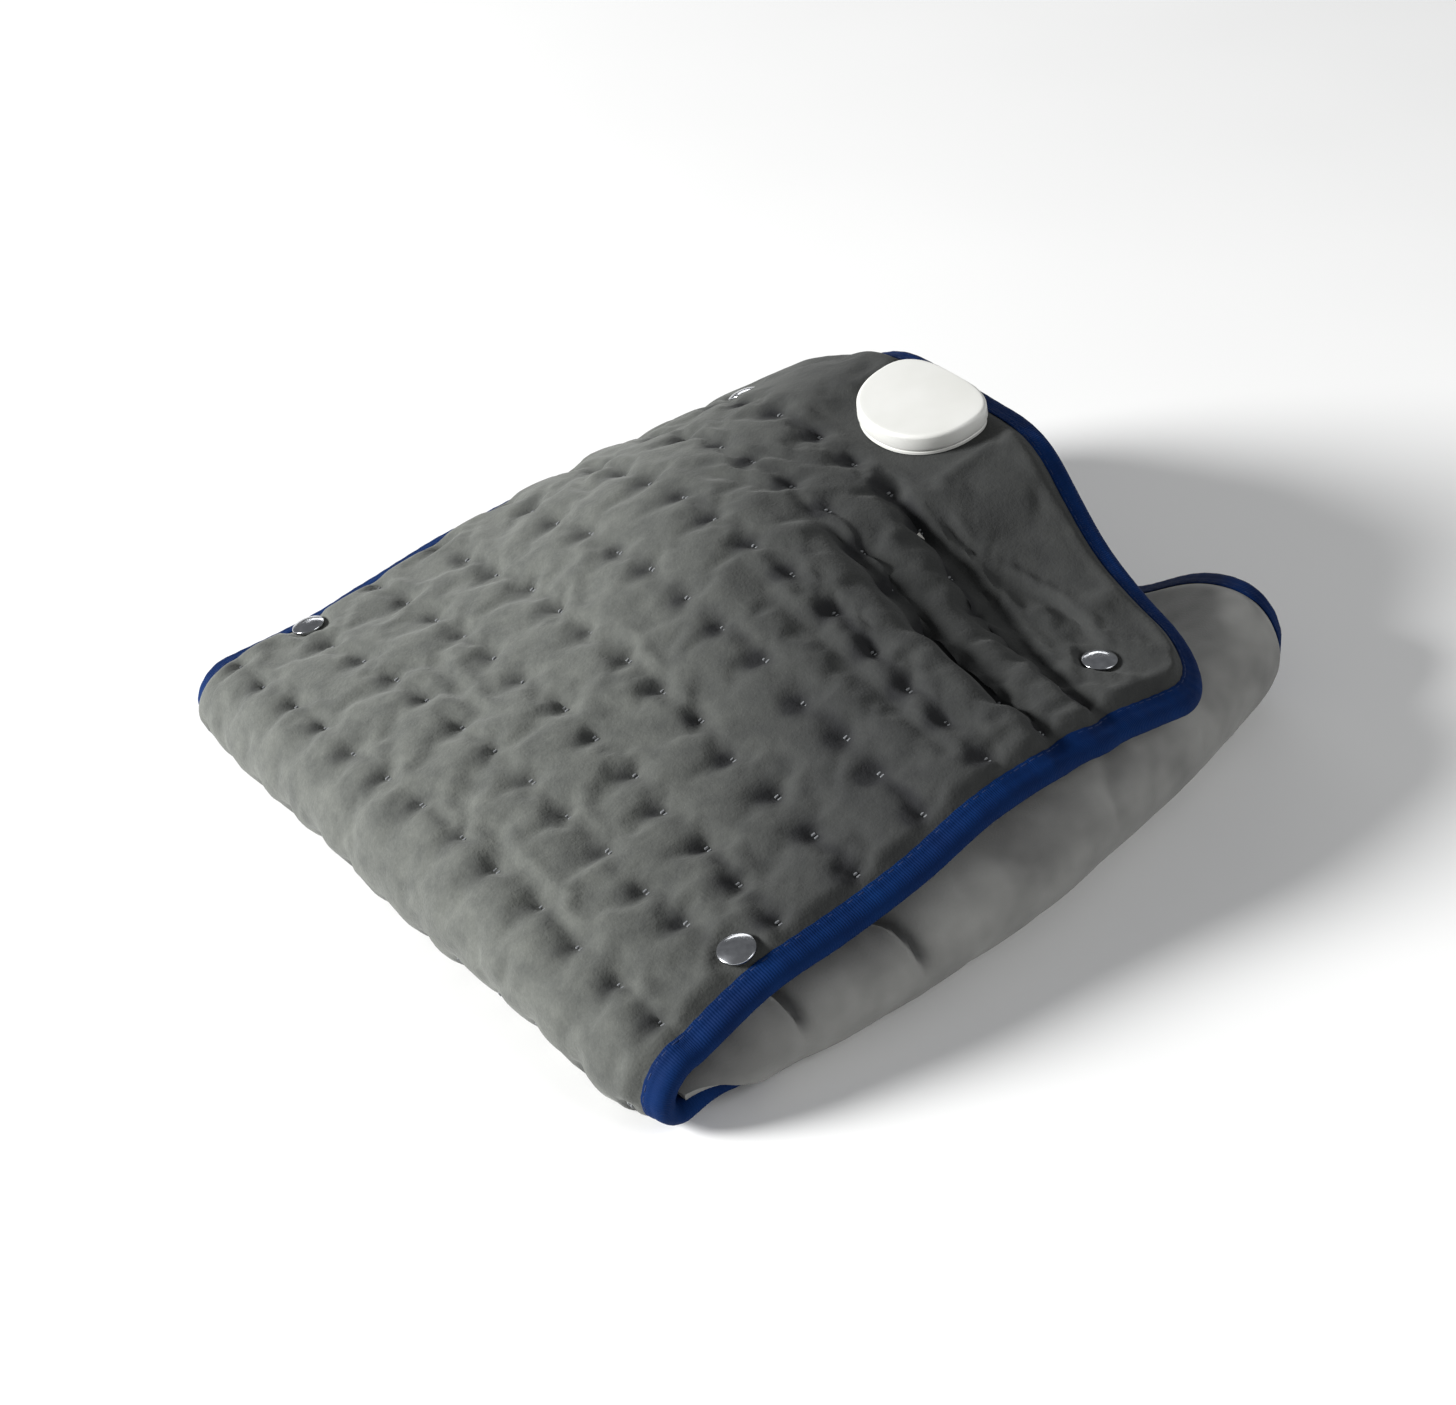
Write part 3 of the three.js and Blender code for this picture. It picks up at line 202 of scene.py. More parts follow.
def base_lattice(share):
    """The base's rows: a tuck, an arc that turns up and over, an eased fall, then flat on the table."""
    lead = [s * ROLL_LEAD for s in ROLL_LEAD_SHARES]
    stations = lead + [ROLL_LEAD + s * (BASE_SPAN - ROLL_LEAD) for s in ROLL_RUN_SHARES]
    tabled = lambda values: through(stations, values, share * BASE_SPAN)[:, None]
    turn = ROLL_TURN * np.minimum(tabled(ROLL_TURN_SHARES), 1)
    radius, tuck, fall = (size * tabled(table) for size, table in (
        (ROLL_RADIUS, ROLL_RADIUS_SHARES), (TUCK, TUCK_SHARES), (ROLL_FALL, FALL_SHARES)))
    roll = np.maximum(radius * turn, ROLL_SHORTEST)
    step = PAD_WIDTH / LATTICE_COLUMNS / FINE_STEPS
    beyond = (np.arange(LATTICE_COLUMNS * FINE_STEPS) + 0.5) * step - tuck - roll
    rolled = beyond < 0
    angle = turn * np.minimum(1, -beyond / roll)
    climb = np.cumsum(np.where(rolled, step * np.sin(angle), 0), axis=1)
    up = np.where(rolled, climb, climb[:, -1:] * (1 - smooth((beyond + step / 2) / fall)))
    rise = np.diff(up, axis=1, prepend=0)
    out = np.cumsum(np.where(rolled, step * np.cos(angle), np.sqrt(step ** 2 - rise ** 2)), axis=1)
    corner = np.zeros_like(out[:, :1])
    out, up = (np.hstack([corner, v[:, FINE_STEPS - 1::FINE_STEPS]]) for v in (out, up))
    near = -NEAR_OVERHANG * tabled(NEAR_PLACE_SHARES) + COVER_FACE * turn / ROLL_TURN
    x = np.repeat((FOLD_BOTTOM + share * BASE_SPAN)[:, None], LATTICE_COLUMNS + 1, axis=1)
    return np.stack([x, near + out - out.min(axis=1, keepdims=True), COVER_FACE + up], -1)


def whole_lattice(flap_rows):
    """Base, fold (a half oval between their first rows) and flap, with a straight margin on every side."""
    base = base_lattice(1 - np.arange(BASE_ROWS + 1) / BASE_ROWS)
    low, high = base[-1], flap_rows[0]
    angle = np.pi * (np.arange(FOLD_ROWS) / FOLD_ROWS - 0.5)[:, None, None]
    fold = low + (high - low) * (1 + np.sin(angle)) / 2
    fold[..., 0] -= (FOLD_SWELL_SHARE * (high - low)[None, :, 2] / 2) * np.cos(angle[..., 0])
    rows = np.concatenate([base[:-1], fold, flap_rows])
    widen = lambda a: np.concatenate([2 * a[:1] - a[1:2], a, 2 * a[-1:] - a[-2:-1]])
    return widen(widen(rows.swapaxes(0, 1)).swapaxes(0, 1))


def cubic_weights(t):
    """The four weights of a cubic through evenly spaced points."""
    u = 1 - t
    return -t * u * u / 2, 1 + t * t * (3 * t - 5) / 2, 1 + u * u * (3 * u - 5) / 2, -t * t * u / 2


def middle(lattice, along, across):
    """Points of the middle surface: the lattice's rows and columns, joined by cubics both ways."""
    along, across = np.broadcast_arrays(along, across)
    base = BASE_ROWS * (along + BASE_REACH) / BASE_SPAN
    fold = BASE_ROWS + FOLD_ROWS * (along + FOLD_HALF_ARC) / (2 * FOLD_HALF_ARC)
    flap = BASE_ROWS + FOLD_ROWS + FLAP_ROWS * (along - FOLD_HALF_ARC) / (FLAP_REACH - FOLD_HALF_ARC)
    row = np.where(along < -FOLD_HALF_ARC, base, np.where(along < FOLD_HALF_ARC, fold, flap))
    column = (across / PAD_WIDTH + 0.5) * LATTICE_COLUMNS
    i = np.clip(np.floor(row).astype(int), 0, len(lattice) - 4)
    j = np.clip(np.floor(column).astype(int), 0, LATTICE_COLUMNS - 1)
    down, over = cubic_weights(row - i), cubic_weights(column - j)
    return sum((down[m] * over[n])[..., None] * lattice[i + m, j + n] for m in range(4) for n in range(4))


PROBE = PAD_WIDTH / LATTICE_COLUMNS / 2


def quilted_normal(lattice, along, across):
    """Unit normal on the quilted side, from the surface's slopes along and across."""
    ahead = middle(lattice, np.minimum(along + PROBE, FLAP_REACH), across)
    back = middle(lattice, np.maximum(along - PROBE, -BASE_REACH), across)
    right = middle(lattice, along, np.minimum(across + PROBE, HALF_WIDTH))
    left = middle(lattice, along, np.maximum(across - PROBE, -HALF_WIDTH))
    return unit(np.cross(ahead - back, right - left))


def past_connector(along, across):
    """How far places lie past the connector's ends and past its sides; 0 under it."""
    return (np.maximum(np.abs(along - CONNECTOR_ALONG) - CONNECTOR_BACK, 0),
            np.maximum(np.abs(across - CONNECTOR_ACROSS) - CONNECTOR_HALF_WIDTH, 0))


def seated_lattice():
    """The lattice with the flap held flat under the connector, easing off over the seat's spread."""
    flap = flap_lattice()
    free = whole_lattice(flap)
    spot = np.array(CONNECTOR_ALONG), np.array(CONNECTOR_ACROSS)
    normal, seat = quilted_normal(free, *spot), middle(free, *spot)
    along = FOLD_HALF_ARC + np.arange(FLAP_ROWS + 1) * (FLAP_REACH - FOLD_HALF_ARC) / FLAP_ROWS
    past = np.hypot(*past_connector(along[:, None], ACROSS_SHARES * HALF_WIDTH))
    hold = 1 - smooth(past / SEAT_SPREAD)
    return whole_lattice(flap - (hold * ((flap - seat) @ normal))[..., None] * normal)


# Heights off the middle surface, on the quilted side.
COVER_FACE = 6.0
LATTICE = seated_lattice()


def place(along, across, off):
    """Points in the row frame, in millimetres: middle surface plus off times its normal, never below 0."""
    along, across = np.broadcast_arrays(along, across)
    points = middle(LATTICE, along, across)
    points = points + np.asarray(off)[..., None] * quilted_normal(LATTICE, along, across)
    points[..., 2] = np.maximum(points[..., 2], 0)
    return points - REST_FACE


def sheet_frame(along, across, off):
    """Matrix of a frame on the sheet, in metres: X along it and Z off its quilted side."""
    along, across = np.array(float(along)), np.array(float(across))
    up = quilted_normal(LATTICE, along, across)
    ahead = middle(LATTICE, along + PROBE, across) - middle(LATTICE, along - PROBE, across)
    ahead = unit(ahead - up * (ahead @ up))
    matrix = Matrix.Identity(4)
    for k, axis in enumerate((ahead, np.cross(up, ahead), up, place(along, across, off) * MM)):
        for n in range(3):
            matrix[n][k] = axis[n]
    return matrix


def inset_of(along, across, reach):
    """Distance of a place inside the sheet's outline: a rectangle whose end corners are rounded."""
    past_along = np.abs(along) - (reach - CORNER_RADIUS)
    past_across = np.abs(across) - (HALF_WIDTH - CORNER_RADIUS)
    corner = CORNER_RADIUS - np.hypot(np.maximum(past_along, 0), np.maximum(past_across, 0))
    straight = np.minimum(reach - np.abs(along), HALF_WIDTH - np.abs(across))
    return np.where((past_along > 0) & (past_across > 0), corner, straight)


# Mesh making.

# Edges sharper than these stay sharp: on sheets, on round bodies and on carved ones.
SHEET_SHARP, ROUND_SHARP, CARVED_SHARP = (math.radians(angle) for angle in (50, 40, 35))
WELD_DISTANCE = 0.005 * MM


def quads_of(index):
    """Quads between the neighbours of a grid of vertex numbers."""
    corners = index[:-1, :-1], index[:-1, 1:], index[1:, 1:], index[1:, :-1]
    return np.stack([c.ravel() for c in corners], 1)


def new_mesh(name, points, faces, uv=None):
    """Object at the origin from points in metres and quads, turned so that a closed shape faces out."""
    points, faces = np.asarray(points, float).reshape(-1, 3), np.asarray(faces)
    a, b, c, d = (points[faces[:, k]] for k in range(4))
    volume = np.einsum("ij,ij->", a, np.cross(b, c)) + np.einsum("ij,ij->", a, np.cross(c, d))
    order = slice(None, None, -1) if volume < 0 else slice(None)
    faces = faces[:, order]
    mesh = bpy.data.meshes.new(name)
    mesh.from_pydata(points.tolist(), [], faces.tolist())
    if uv is not None:
        layer = mesh.uv_layers.new(name="cloth")
        layer.data.foreach_set("uv", np.asarray(uv, float)[:, order].ravel())
    mesh.polygons.foreach_set("use_smooth", np.ones(len(mesh.polygons), bool))
    mesh.set_sharp_from_angle(angle=SHEET_SHARP)
    mesh.update()
    piece = bpy.data.objects.new(name, mesh)
    bpy.context.scene.collection.objects.link(piece)
    return piece


def slab(name, outer, inner):
    """Closed slab between two grids of points of the same size, in millimetres."""
    rows, columns = outer.shape[:2]
    top = np.arange(rows * columns).reshape(rows, columns)
    under = top + rows * columns
    sides = [np.stack([under[0], top[0]]), np.stack([top[-1], under[-1]]),
             np.stack([top[:, 0], under[:, 0]]), np.stack([under[:, -1], top[:, -1]])]
    faces = np.concatenate([quads_of(top), quads_of(under)[:, ::-1], *map(quads_of, sides)])
    points = np.concatenate([outer.reshape(-1, 3), inner.reshape(-1, 3)]) * MM
    return new_mesh(name, points, faces)


def welded(piece):
    """Joins points that lie on each other and turns the faces outwards."""
    edit = bmesh.new()
    edit.from_mesh(piece.data)
    bmesh.ops.remove_doubles(edit, verts=edit.verts, dist=WELD_DISTANCE)
    bmesh.ops.recalc_face_normals(edit, faces=edit.faces)
    edit.to_mesh(piece.data)
    edit.free()


def turned(name, profile, sides, matrix):
    """Round body: a half outline of (radius, height) pairs, in millimetres, carried round Z."""
    profile = np.asarray(profile, float)
    angle = 2 * np.pi * np.arange(sides) / sides
    ring = np.stack([np.cos(angle), np.sin(angle), np.ones(sides)], -1)
    points = ring[None] * profile[:, [0, 0, 1]][:, None]
    return ringed(name, points, matrix)


def ringed(name, rings, matrix):
    """Closed body from rings of points, in millimetres; the first and last ring shrink to a pole."""
    rings = np.asarray(rings, float)
    count, sides = rings.shape[:2]
    index = np.arange(count * sides).reshape(count, sides)
    faces = quads_of(np.hstack([index, index[:, :1]]))
    piece = new_mesh(name, rings.reshape(-1, 3) * MM, faces)
    welded(piece)
    piece.data.transform(matrix)
    piece.data.set_sharp_from_angle(angle=ROUND_SHARP)
    return piece


def finish_piece(piece, material, body=None, replaces=()):
    """Material, slot, body and the solids that a piece stands for; a piece without a body has its place baked
    into its mesh.
    """
    piece.data.materials.append(material)
    if body:
        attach(piece, body)
    else:
        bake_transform(piece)
    if replaces:
        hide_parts(*replaces)


# Tufts: each has its own small shift, depth and rays, and each stretch between two its own groove.
TUFT_DICE = np.random.default_rng(7)
TUFT_ROWS = BASE_ROWS_OF_TUFTS + FLAP_ROWS_OF_TUFTS
MOST_SHIFT, LEAST_DEPTH_SHARE, MOST_DEPTH_SHARE, LEAST_GROOVE_SHARE = 1.3, 0.8, 1.15, 0.05
TUFT_SHIFTS = TUFT_DICE.uniform(-MOST_SHIFT, MOST_SHIFT, (TUFT_ROWS, COLUMN_COUNT, 2))
TUFT_DEPTHS = TUFT_DICE.uniform(LEAST_DEPTH_SHARE, MOST_DEPTH_SHARE, (TUFT_ROWS, COLUMN_COUNT))
TUFT_LEANS = TUFT_DICE.uniform(0, 2 * np.pi, (TUFT_ROWS, COLUMN_COUNT))
GROOVE_DEPTHS = TUFT_DICE.uniform(-0.4, 1, (TUFT_ROWS, COLUMN_COUNT)).clip(LEAST_GROOVE_SHARE)
FOLD_ROW_PULL = 0.55
ROW_PULLS = np.where(np.arange(TUFT_ROWS) == BASE_ROWS_OF_TUFTS, FOLD_ROW_PULL, 1.0)

# A dimple and its dish, and the groove between two. Back is towards the fold and ahead is away from it.
DIMPLE_DEPTH, DIMPLE_RADIUS, STRETCH_BACK, STRETCH_AHEAD = 3.3, 2.0, 1.5, 0.8
DISH_DEPTH, DISH_LENGTH, DISH_WIDTH = 1.6, 7.5, 6.0
RAY_COUNT, RAY_SHARE, RAY_START = 3, 0.3, 3
GROOVE_LEAST, GROOVE_MORE, GROOVE_BACK, GROOVE_AHEAD, GROOVE_SWING = 0.15, 0.8, 4.2, 2.0, 1.2
GROOVE_SIDE, GROOVE_FADE = 10, 12

# How much painted shade darkens the pile past the crest, beside a stitch and in a groove, and where.
PAST_SHADE, PAST_START, PAST_LENGTH, PAST_SLANT = 0.78, 60, 170, 0.9
TUFT_SHADOW_SHADE, TUFT_SHADOW_BACK, TUFT_SHADOW_SIDE, TUFT_SHADOW_LENGTH, TUFT_SHADOW_WIDTH = 0.6, 3.6, 1.2, 4.4, 3.8
GROOVE_SHADE = 0.25


def tuft_places():
    """Places along and across of all the tufts, as arrays of rows and columns; two give way to snaps."""
    row = np.arange(TUFT_ROWS)[:, None] - BASE_ROWS_OF_TUFTS
    column = np.arange(COLUMN_COUNT)[None] - (COLUMN_COUNT - 1) / 2
    along, across = FIRST_ROW + row * ROW_PITCH, column * COLUMN_PITCH
    along = along + row_lean(along, across) + TUFT_SHIFTS[..., 0]
    across = across + TUFT_SHIFTS[..., 1]
    sewn = np.ones_like(along, bool)
    sewn[BASE_ROWS_OF_TUFTS + 2, [0, -1]] = False
    return along, across, sewn


def nearest_row(along, across):
    """Number of the tuft row nearest to each place."""
    level = along - row_lean(along, across)
    return np.round((level - FIRST_ROW) / ROW_PITCH).astype(int) + BASE_ROWS_OF_TUFTS


def tuft_sum(along, across, shape):
    """Sum, over the nine nearest tufts, of a shape given by the way from the tuft and the tuft's numbers."""
    tuft_along, tuft_across, sewn = tuft_places()
    i0 = nearest_row(along, across)
    j0 = np.round(across / COLUMN_PITCH + (COLUMN_COUNT - 1) / 2).astype(int)
    total = np.zeros_like(along)
    for di in (-1, 0, 1):
        for dj in (-1, 0, 1):
            i, j = i0 + di, j0 + dj
            there = (i >= 0) & (i < TUFT_ROWS) & (j >= 0) & (j < COLUMN_COUNT)
            i, j = np.clip(i, 0, TUFT_ROWS - 1), np.clip(j, 0, COLUMN_COUNT - 1)
            value = shape(along - tuft_along[i, j], across - tuft_across[i, j], i, j)
            total += np.where(there & sewn[i, j], value, 0)
    return total


def dimple(da, dc, i, j):
    """A sharp dimple with three soft rays, long on the fold's side, in a broad dish."""
    stretched = np.where(da < 0, da / STRETCH_BACK, da / STRETCH_AHEAD)
    away = np.hypot(stretched, dc)
    turn = RAY_COUNT * np.arctan2(dc, da) + TUFT_LEANS[i, j]
    rays = 1 + RAY_SHARE * np.cos(turn) * smooth(away / RAY_START)
    sharp = DIMPLE_DEPTH * np.exp(-away / (DIMPLE_RADIUS * rays))
    broad = DISH_DEPTH * np.exp(-(stretched / DISH_LENGTH) ** 2 - (dc / DISH_WIDTH) ** 2)
    return (sharp + broad) * TUFT_DEPTHS[i, j] * ROW_PULLS[i]


def grooves(along, across):
    """Depth of the groove from each tuft to the next in its row: a bell across it, a half sine along it."""
    tuft_along = tuft_places()[0]
    i0 = nearest_row(along, across)
    i = np.clip(i0, 0, TUFT_ROWS - 1)
    run = across / COLUMN_PITCH + (COLUMN_COUNT - 1) / 2
    j = np.clip(np.floor(run).astype(int), 0, COLUMN_COUNT - 2)
    share = np.clip(run - j, 0, 1)
    line = tuft_along[i, j] * (1 - share) + tuft_along[i, j + 1] * share
    line = line + GROOVE_SWING * np.sin(2 * np.pi * share + TUFT_LEANS[i, j])
    off = along - line
    bell = np.exp(-(off / np.where(off < 0, GROOVE_BACK, GROOVE_AHEAD)) ** 2)
    depth = (GROOVE_LEAST + GROOVE_MORE * GROOVE_DEPTHS[i, j] * np.sin(np.pi * share)) * bell
    return np.where(i0 == i, depth, 0) * smooth((HALF_WIDTH - GROOVE_SIDE - np.abs(across)) / GROOVE_FADE)


def puckers(along, across):
    """Depth of the stitched puckers: a dimple at each tuft and a groove between neighbours in a row."""
    return tuft_sum(along, across, dimple) + grooves(along, across)


def painted_tuft_shadow(da, dc, *_):
    """Painted shadow on the fold's side of any tuft, where the dimple's wall faces away from the light: a
    bell both ways.
    """
    return np.exp(-((da + TUFT_SHADOW_BACK) / TUFT_SHADOW_LENGTH) ** 2 - ((dc - TUFT_SHADOW_SIDE) / TUFT_SHADOW_WIDTH) ** 2)


def pile_light(along, across):
    """Painted light and shade on the pile, from 0 to 1: painted shade past the crest, where the surface turns
    from the light, at the stitches and in the grooves.
    """
    past = smooth((along - PAST_SLANT * across - PAST_START) / PAST_LENGTH)
    tuft_shadows = np.minimum(tuft_sum(along, across, painted_tuft_shadow), 1)
    lines = np.minimum(grooves(along, across), 1)
    return np.clip(1 - PAST_SHADE * past - TUFT_SHADOW_SHADE * tuft_shadows - GROOVE_SHADE * lines, 0, 1)


LUMP_WAVES, QUILT_SEED, PLAIN_SEED, PLAIN_LUMPS = 9, 3, 11, (30, 90)


def lumps(along, across, seed, sizes=(18, 60), height=0.35):
    """Gentle unevenness: a sum of cosine waves in seeded directions and lengths."""
    dice = np.random.default_rng(seed)
    total = np.zeros(np.broadcast(along, across).shape)
    for _ in range(LUMP_WAVES):
        angle, length, phase = dice.uniform(0, np.pi), dice.uniform(*sizes), dice.uniform(0, 2 * np.pi)
        total += np.cos(2 * np.pi * (along * np.cos(angle) + across * np.sin(angle)) / length + phase)
    return height * total / math.sqrt(LUMP_WAVES)


# Creases: half widths before and past them along the sheet, depth, and places (along, across), in mm.
FLAP_CREASES = [
    (8.0, 2.2, 3.4, [(203, 20), (197, -26), (193, -54), (195, -85), (193, -110), (196, -134)]),
    (6.0, 2.0, 3.2, [(250, 30), (246, 4), (236, -12), (235, -25), (241, -42), (243, -64), (243, -78),
                     (238, -98), (233, -114), (222, -134)]),
    (7.0, 1.8, 2.6, [(243, -44), (256, -60), (265, -78), (266, -94), (260, -116)]),
    (3.0, 1.6, 1.5, [(204, -24), (211, -34), (218, -40)]),
    (3.0, 1.6, 1.8, [(246, -22), (245, -32), (250, -46)]),
    (4.0, 1.8, 1.6, [(226, -52), (221, -66), (222, -82)]),
    (6.0, 2.2, 2.0, [(166, 4), (161, -28), (161, -54), (159, -78), (157, -100), (152, -128)]),
    (5.0, 2.0, 1.4, [(190, 52), (196, 36), (202, 14)]),
    (5.0, 2.0, 1.2, [(118, 20), (112, -14), (108, -40)]),
    (5.0, 2.4, 1.3, [(70, 66), (64, 40), (60, 12)]),
    (5.0, 2.2, 1.2, [(30, -20), (26, -60), (22, -96)]),
    (3.5, 1.8, 1.0, [(222, 60), (216, 42), (222, 22)]),
]
BASE_CREASES = [
    (5.0, 1.4, 3.6, [(-52, -104), (-62, -120), (-66, -136)]),
    (4.6, 1.4, 3.2, [(-98, -98), (-108, -112), (-112, -128)]),
    (5.0, 3.0, 1.2, [(-220, -92), (-206, -106), (-204, -120)]),
    (4.0, 2.4, 1.2, [(-36, -112), (-44, -124), (-44, -138)]),
    (6.0, 4.0, 1.0, [(-140, -96), (-160, -108), (-186, -112)]),
]
# The shares of a crease over which it fades at its ends, of its depth in its lip, and where the lip lies.
CREASE_FADE_SHARE, LIP_SHARE, LIP_PLACE_SHARE = 0.25, 0.25, 2.2


def creases(along, across, table):
    """Depth of creases along broken lines: a bell across each with a low lip beside it, faded at its ends."""
    depth = np.zeros_like(along)
    for before, past, deep, places in table:
        places = np.array(places, float)
        spans = np.linalg.norm(np.diff(places, axis=0), axis=1)
        starts = np.concatenate([[0], np.cumsum(spans)])
        nearest, side, run = (np.full(along.shape, v) for v in (np.inf, 1.0, 0.0))
        for (a0, c0), (a1, c1), span, start in zip(places[:-1], places[1:], spans, starts):
            share = ((along - a0) * (a1 - a0) + (across - c0) * (c1 - c0)) / span ** 2
            share = np.clip(share, 0, 1)
            da, dc = along - a0 - share * (a1 - a0), across - c0 - share * (c1 - c0)
            away = np.hypot(da, dc)
            closer = away < nearest
            nearest, side = np.where(closer, away, nearest), np.where(closer, da, side)
            run = np.where(closer, start + share * span, run)
        fading = CREASE_FADE_SHARE * starts[-1]
        off = nearest / np.where(side < 0, before, past)
        bell = np.exp(-off ** 2) - LIP_SHARE * np.exp(-(off - LIP_PLACE_SHARE) ** 2)
        depth += deep * smooth(run / fading) * smooth((starts[-1] - run) / fading) * bell
    return depth


def near_snaps(along, across):
    """Distance from the nearest snap fastener."""
    return np.min([np.hypot(along - a, across - c) for a, c, _ in SNAPS.values()], axis=0)


# Faces: full and least heights off the middle surface, and how they sink at the rim and under fittings.
QUILT_FULL, QUILT_LEAST, QUILT_SHARPNESS = 8.0, 2.8, 2.5
PLAIN_FULL, PLAIN_LEAST, STITCH_SHARE = 6.2, 2.9, 0.22
RIM_OFF, RIM_START, RIM_RISE = 3.4, 7.0, 7
UNDER_CONNECTOR, CONNECTOR_STEP, CONNECTOR_FADE = 6.1, 2.4, 12
UNDER_SNAP, SNAP_STEP, SNAP_PRESS, SNAP_FADE = 5.2, 3.2, 5, 8
LAP_START, LAP_WIDTH, LAP_END, LAP_FADE, LAP_OFF = 24.0, 8, 130.0, 30, 6.2


def sunk_at_rim(off, along, across, reach):
    """A face's height, eased down to the rim's."""
    return RIM_OFF + (off - RIM_OFF) * smooth((inset_of(along, across, reach) - RIM_START) / RIM_RISE)


def quilted_off(along, across, reach):
    """Quilted face: full height less puckers and creases, lower at the rim, the snaps and the connector.

    A soft maximum, the logarithm of a sum of exponentials, keeps it above its least height.
    """
    off = QUILT_FULL + lumps(along, across, QUILT_SEED) - puckers(along, across)
    if reach == FLAP_REACH:
        clear = smooth(np.hypot(*past_connector(along, across)) / CONNECTOR_FADE)
        off = off - creases(along, across, FLAP_CREASES) * clear
        off = np.minimum(off, UNDER_CONNECTOR + CONNECTOR_STEP * clear)
        pressed = smooth((near_snaps(along, across) - SNAP_PRESS) / SNAP_FADE)
        off = np.minimum(off, UNDER_SNAP + SNAP_STEP * pressed)
    off = QUILT_LEAST + np.logaddexp(0, (off - QUILT_LEAST) * QUILT_SHARPNESS) / QUILT_SHARPNESS
    return sunk_at_rim(off, along, across, reach)


def plain_off(along, across, reach, table=()):
    """Smooth face: nearly full height, with faint dents at the stitches, lower at the rim.

    Beside the fold, where the base's near margin starts to roll under, the cloth laps over its tape.
    """
    off = PLAIN_FULL + lumps(along, across, PLAIN_SEED, PLAIN_LUMPS)
    off = off - STITCH_SHARE * puckers(along, across)
    off = sunk_at_rim(off, along, across, reach)
    if reach == BASE_REACH:
        lap = smooth((LAP_START - HALF_WIDTH - across) / LAP_WIDTH) * smooth((along + LAP_END) / LAP_FADE)
        off = np.maximum(off, off + (LAP_OFF - off) * lap)
    return np.maximum(off - creases(along, across, table), PLAIN_LEAST)


def cover_grid(reach, direction, step, inset=3.2):
    """Places of a cover: rows from its start to the rounded outline, columns from side to side."""
    across = np.linspace(inset - HALF_WIDTH, HALF_WIDTH - inset, 1 + round(PAD_WIDTH / step))
    past = np.abs(across) - (HALF_WIDTH - CORNER_RADIUS)
    rounded = np.sqrt(np.maximum((CORNER_RADIUS - inset) ** 2 - np.maximum(past, 0) ** 2, 0))
    end = direction * np.where(past > 0, reach - CORNER_RADIUS + rounded, reach - inset)
    share = np.linspace(0, 1, 1 + round(reach / step))[:, None]
    return FOLD_START + share * (end - FOLD_START), np.broadcast_to(across, (len(share), len(across)))


# Materials.

def linear(hex_colour):
    """Linear red, green, blue and alpha of an sRGB hex colour."""
    channels = [int(hex_colour[k:k + 2], 16) / 255 for k in (1, 3, 5)]
    return (*(c / 12.92 if c <= 0.04045 else ((c + 0.055) / 1.055) ** 2.4 for c in channels), 1)


def add_node(tree, kind, settings=(), **inputs):
    """Adds a node with its settings; each input is a value or the socket that feeds it."""
    node = tree.nodes.new(kind)
    for name, value in dict(settings).items():
        setattr(node, name, value)
    for name, value in inputs.items():
        key = name.replace("_", " ")
        socket = node.inputs[int(key[1:])] if key[1:].isdigit() else node.inputs[key]
        if isinstance(value, bpy.types.NodeSocket):
            tree.links.new(value, socket)
        else:
            socket.default_value = value
    return node


def new_material(name):
    """An empty material with its tree, its Object coordinates and its output node."""
    material = bpy.data.materials.new(name)
    material.use_nodes = True
    tree = material.node_tree
    tree.nodes.clear()
    coordinates = add_node(tree, "ShaderNodeTexCoord").outputs
    return material, tree, coordinates


def noise(tree, vector, size_mm, detail=2.0, roughness=0.5):
    """Noise whose features are about size_mm across."""
    return add_node(tree, "ShaderNodeTexNoise", Vector=vector, Scale=1 / (size_mm * MM), Detail=detail,
                    Roughness=roughness).outputs["Fac"]


def between(tree, factor, low, high, from_min=0.3, from_max=0.7):
    """Colour between two, by a factor stretched from a range."""
    ranged = add_node(tree, "ShaderNodeMapRange", Value=factor, From_Min=from_min, From_Max=from_max)
    return add_node(tree, "ShaderNodeMix", {"data_type": "RGBA"}, Factor=ranged.outputs[0],
                    i6=linear(low), i7=linear(high)).outputs[2]


def shade(material, tree, colour, bumps=(), **settings):
    """Principled surface with a colour socket and a chain of bumps: (height socket, depth in mm)."""
    normal = None
    for height, depth in bumps:
        links = {"Height": height, "Distance": depth * MM, "Strength": 1.0}
        if normal is not None:
            links["Normal"] = normal
        normal = add_node(tree, "ShaderNodeBump", **links).outputs[0]
    inputs = {"Base_Color": colour, **settings}
    if normal is not None:
        inputs["Normal"] = normal
    surface = add_node(tree, "ShaderNodeBsdfPrincipled", **inputs)
    add_node(tree, "ShaderNodeOutputMaterial", Surface=surface.outputs[0])
    return material


def with_painted_shade(tree, colour, dark):
    """The colour, mixed towards a painted shade colour by the surface's attribute of painted light and shade.
    """
    light = add_node(tree, "ShaderNodeAttribute", {"attribute_name": "pile_light"}).outputs["Fac"]
    mixed = add_node(tree, "ShaderNodeMix", {"data_type": "RGBA"}, Factor=light, i6=linear(dark), i7=colour)
    return light, mixed.outputs[2]


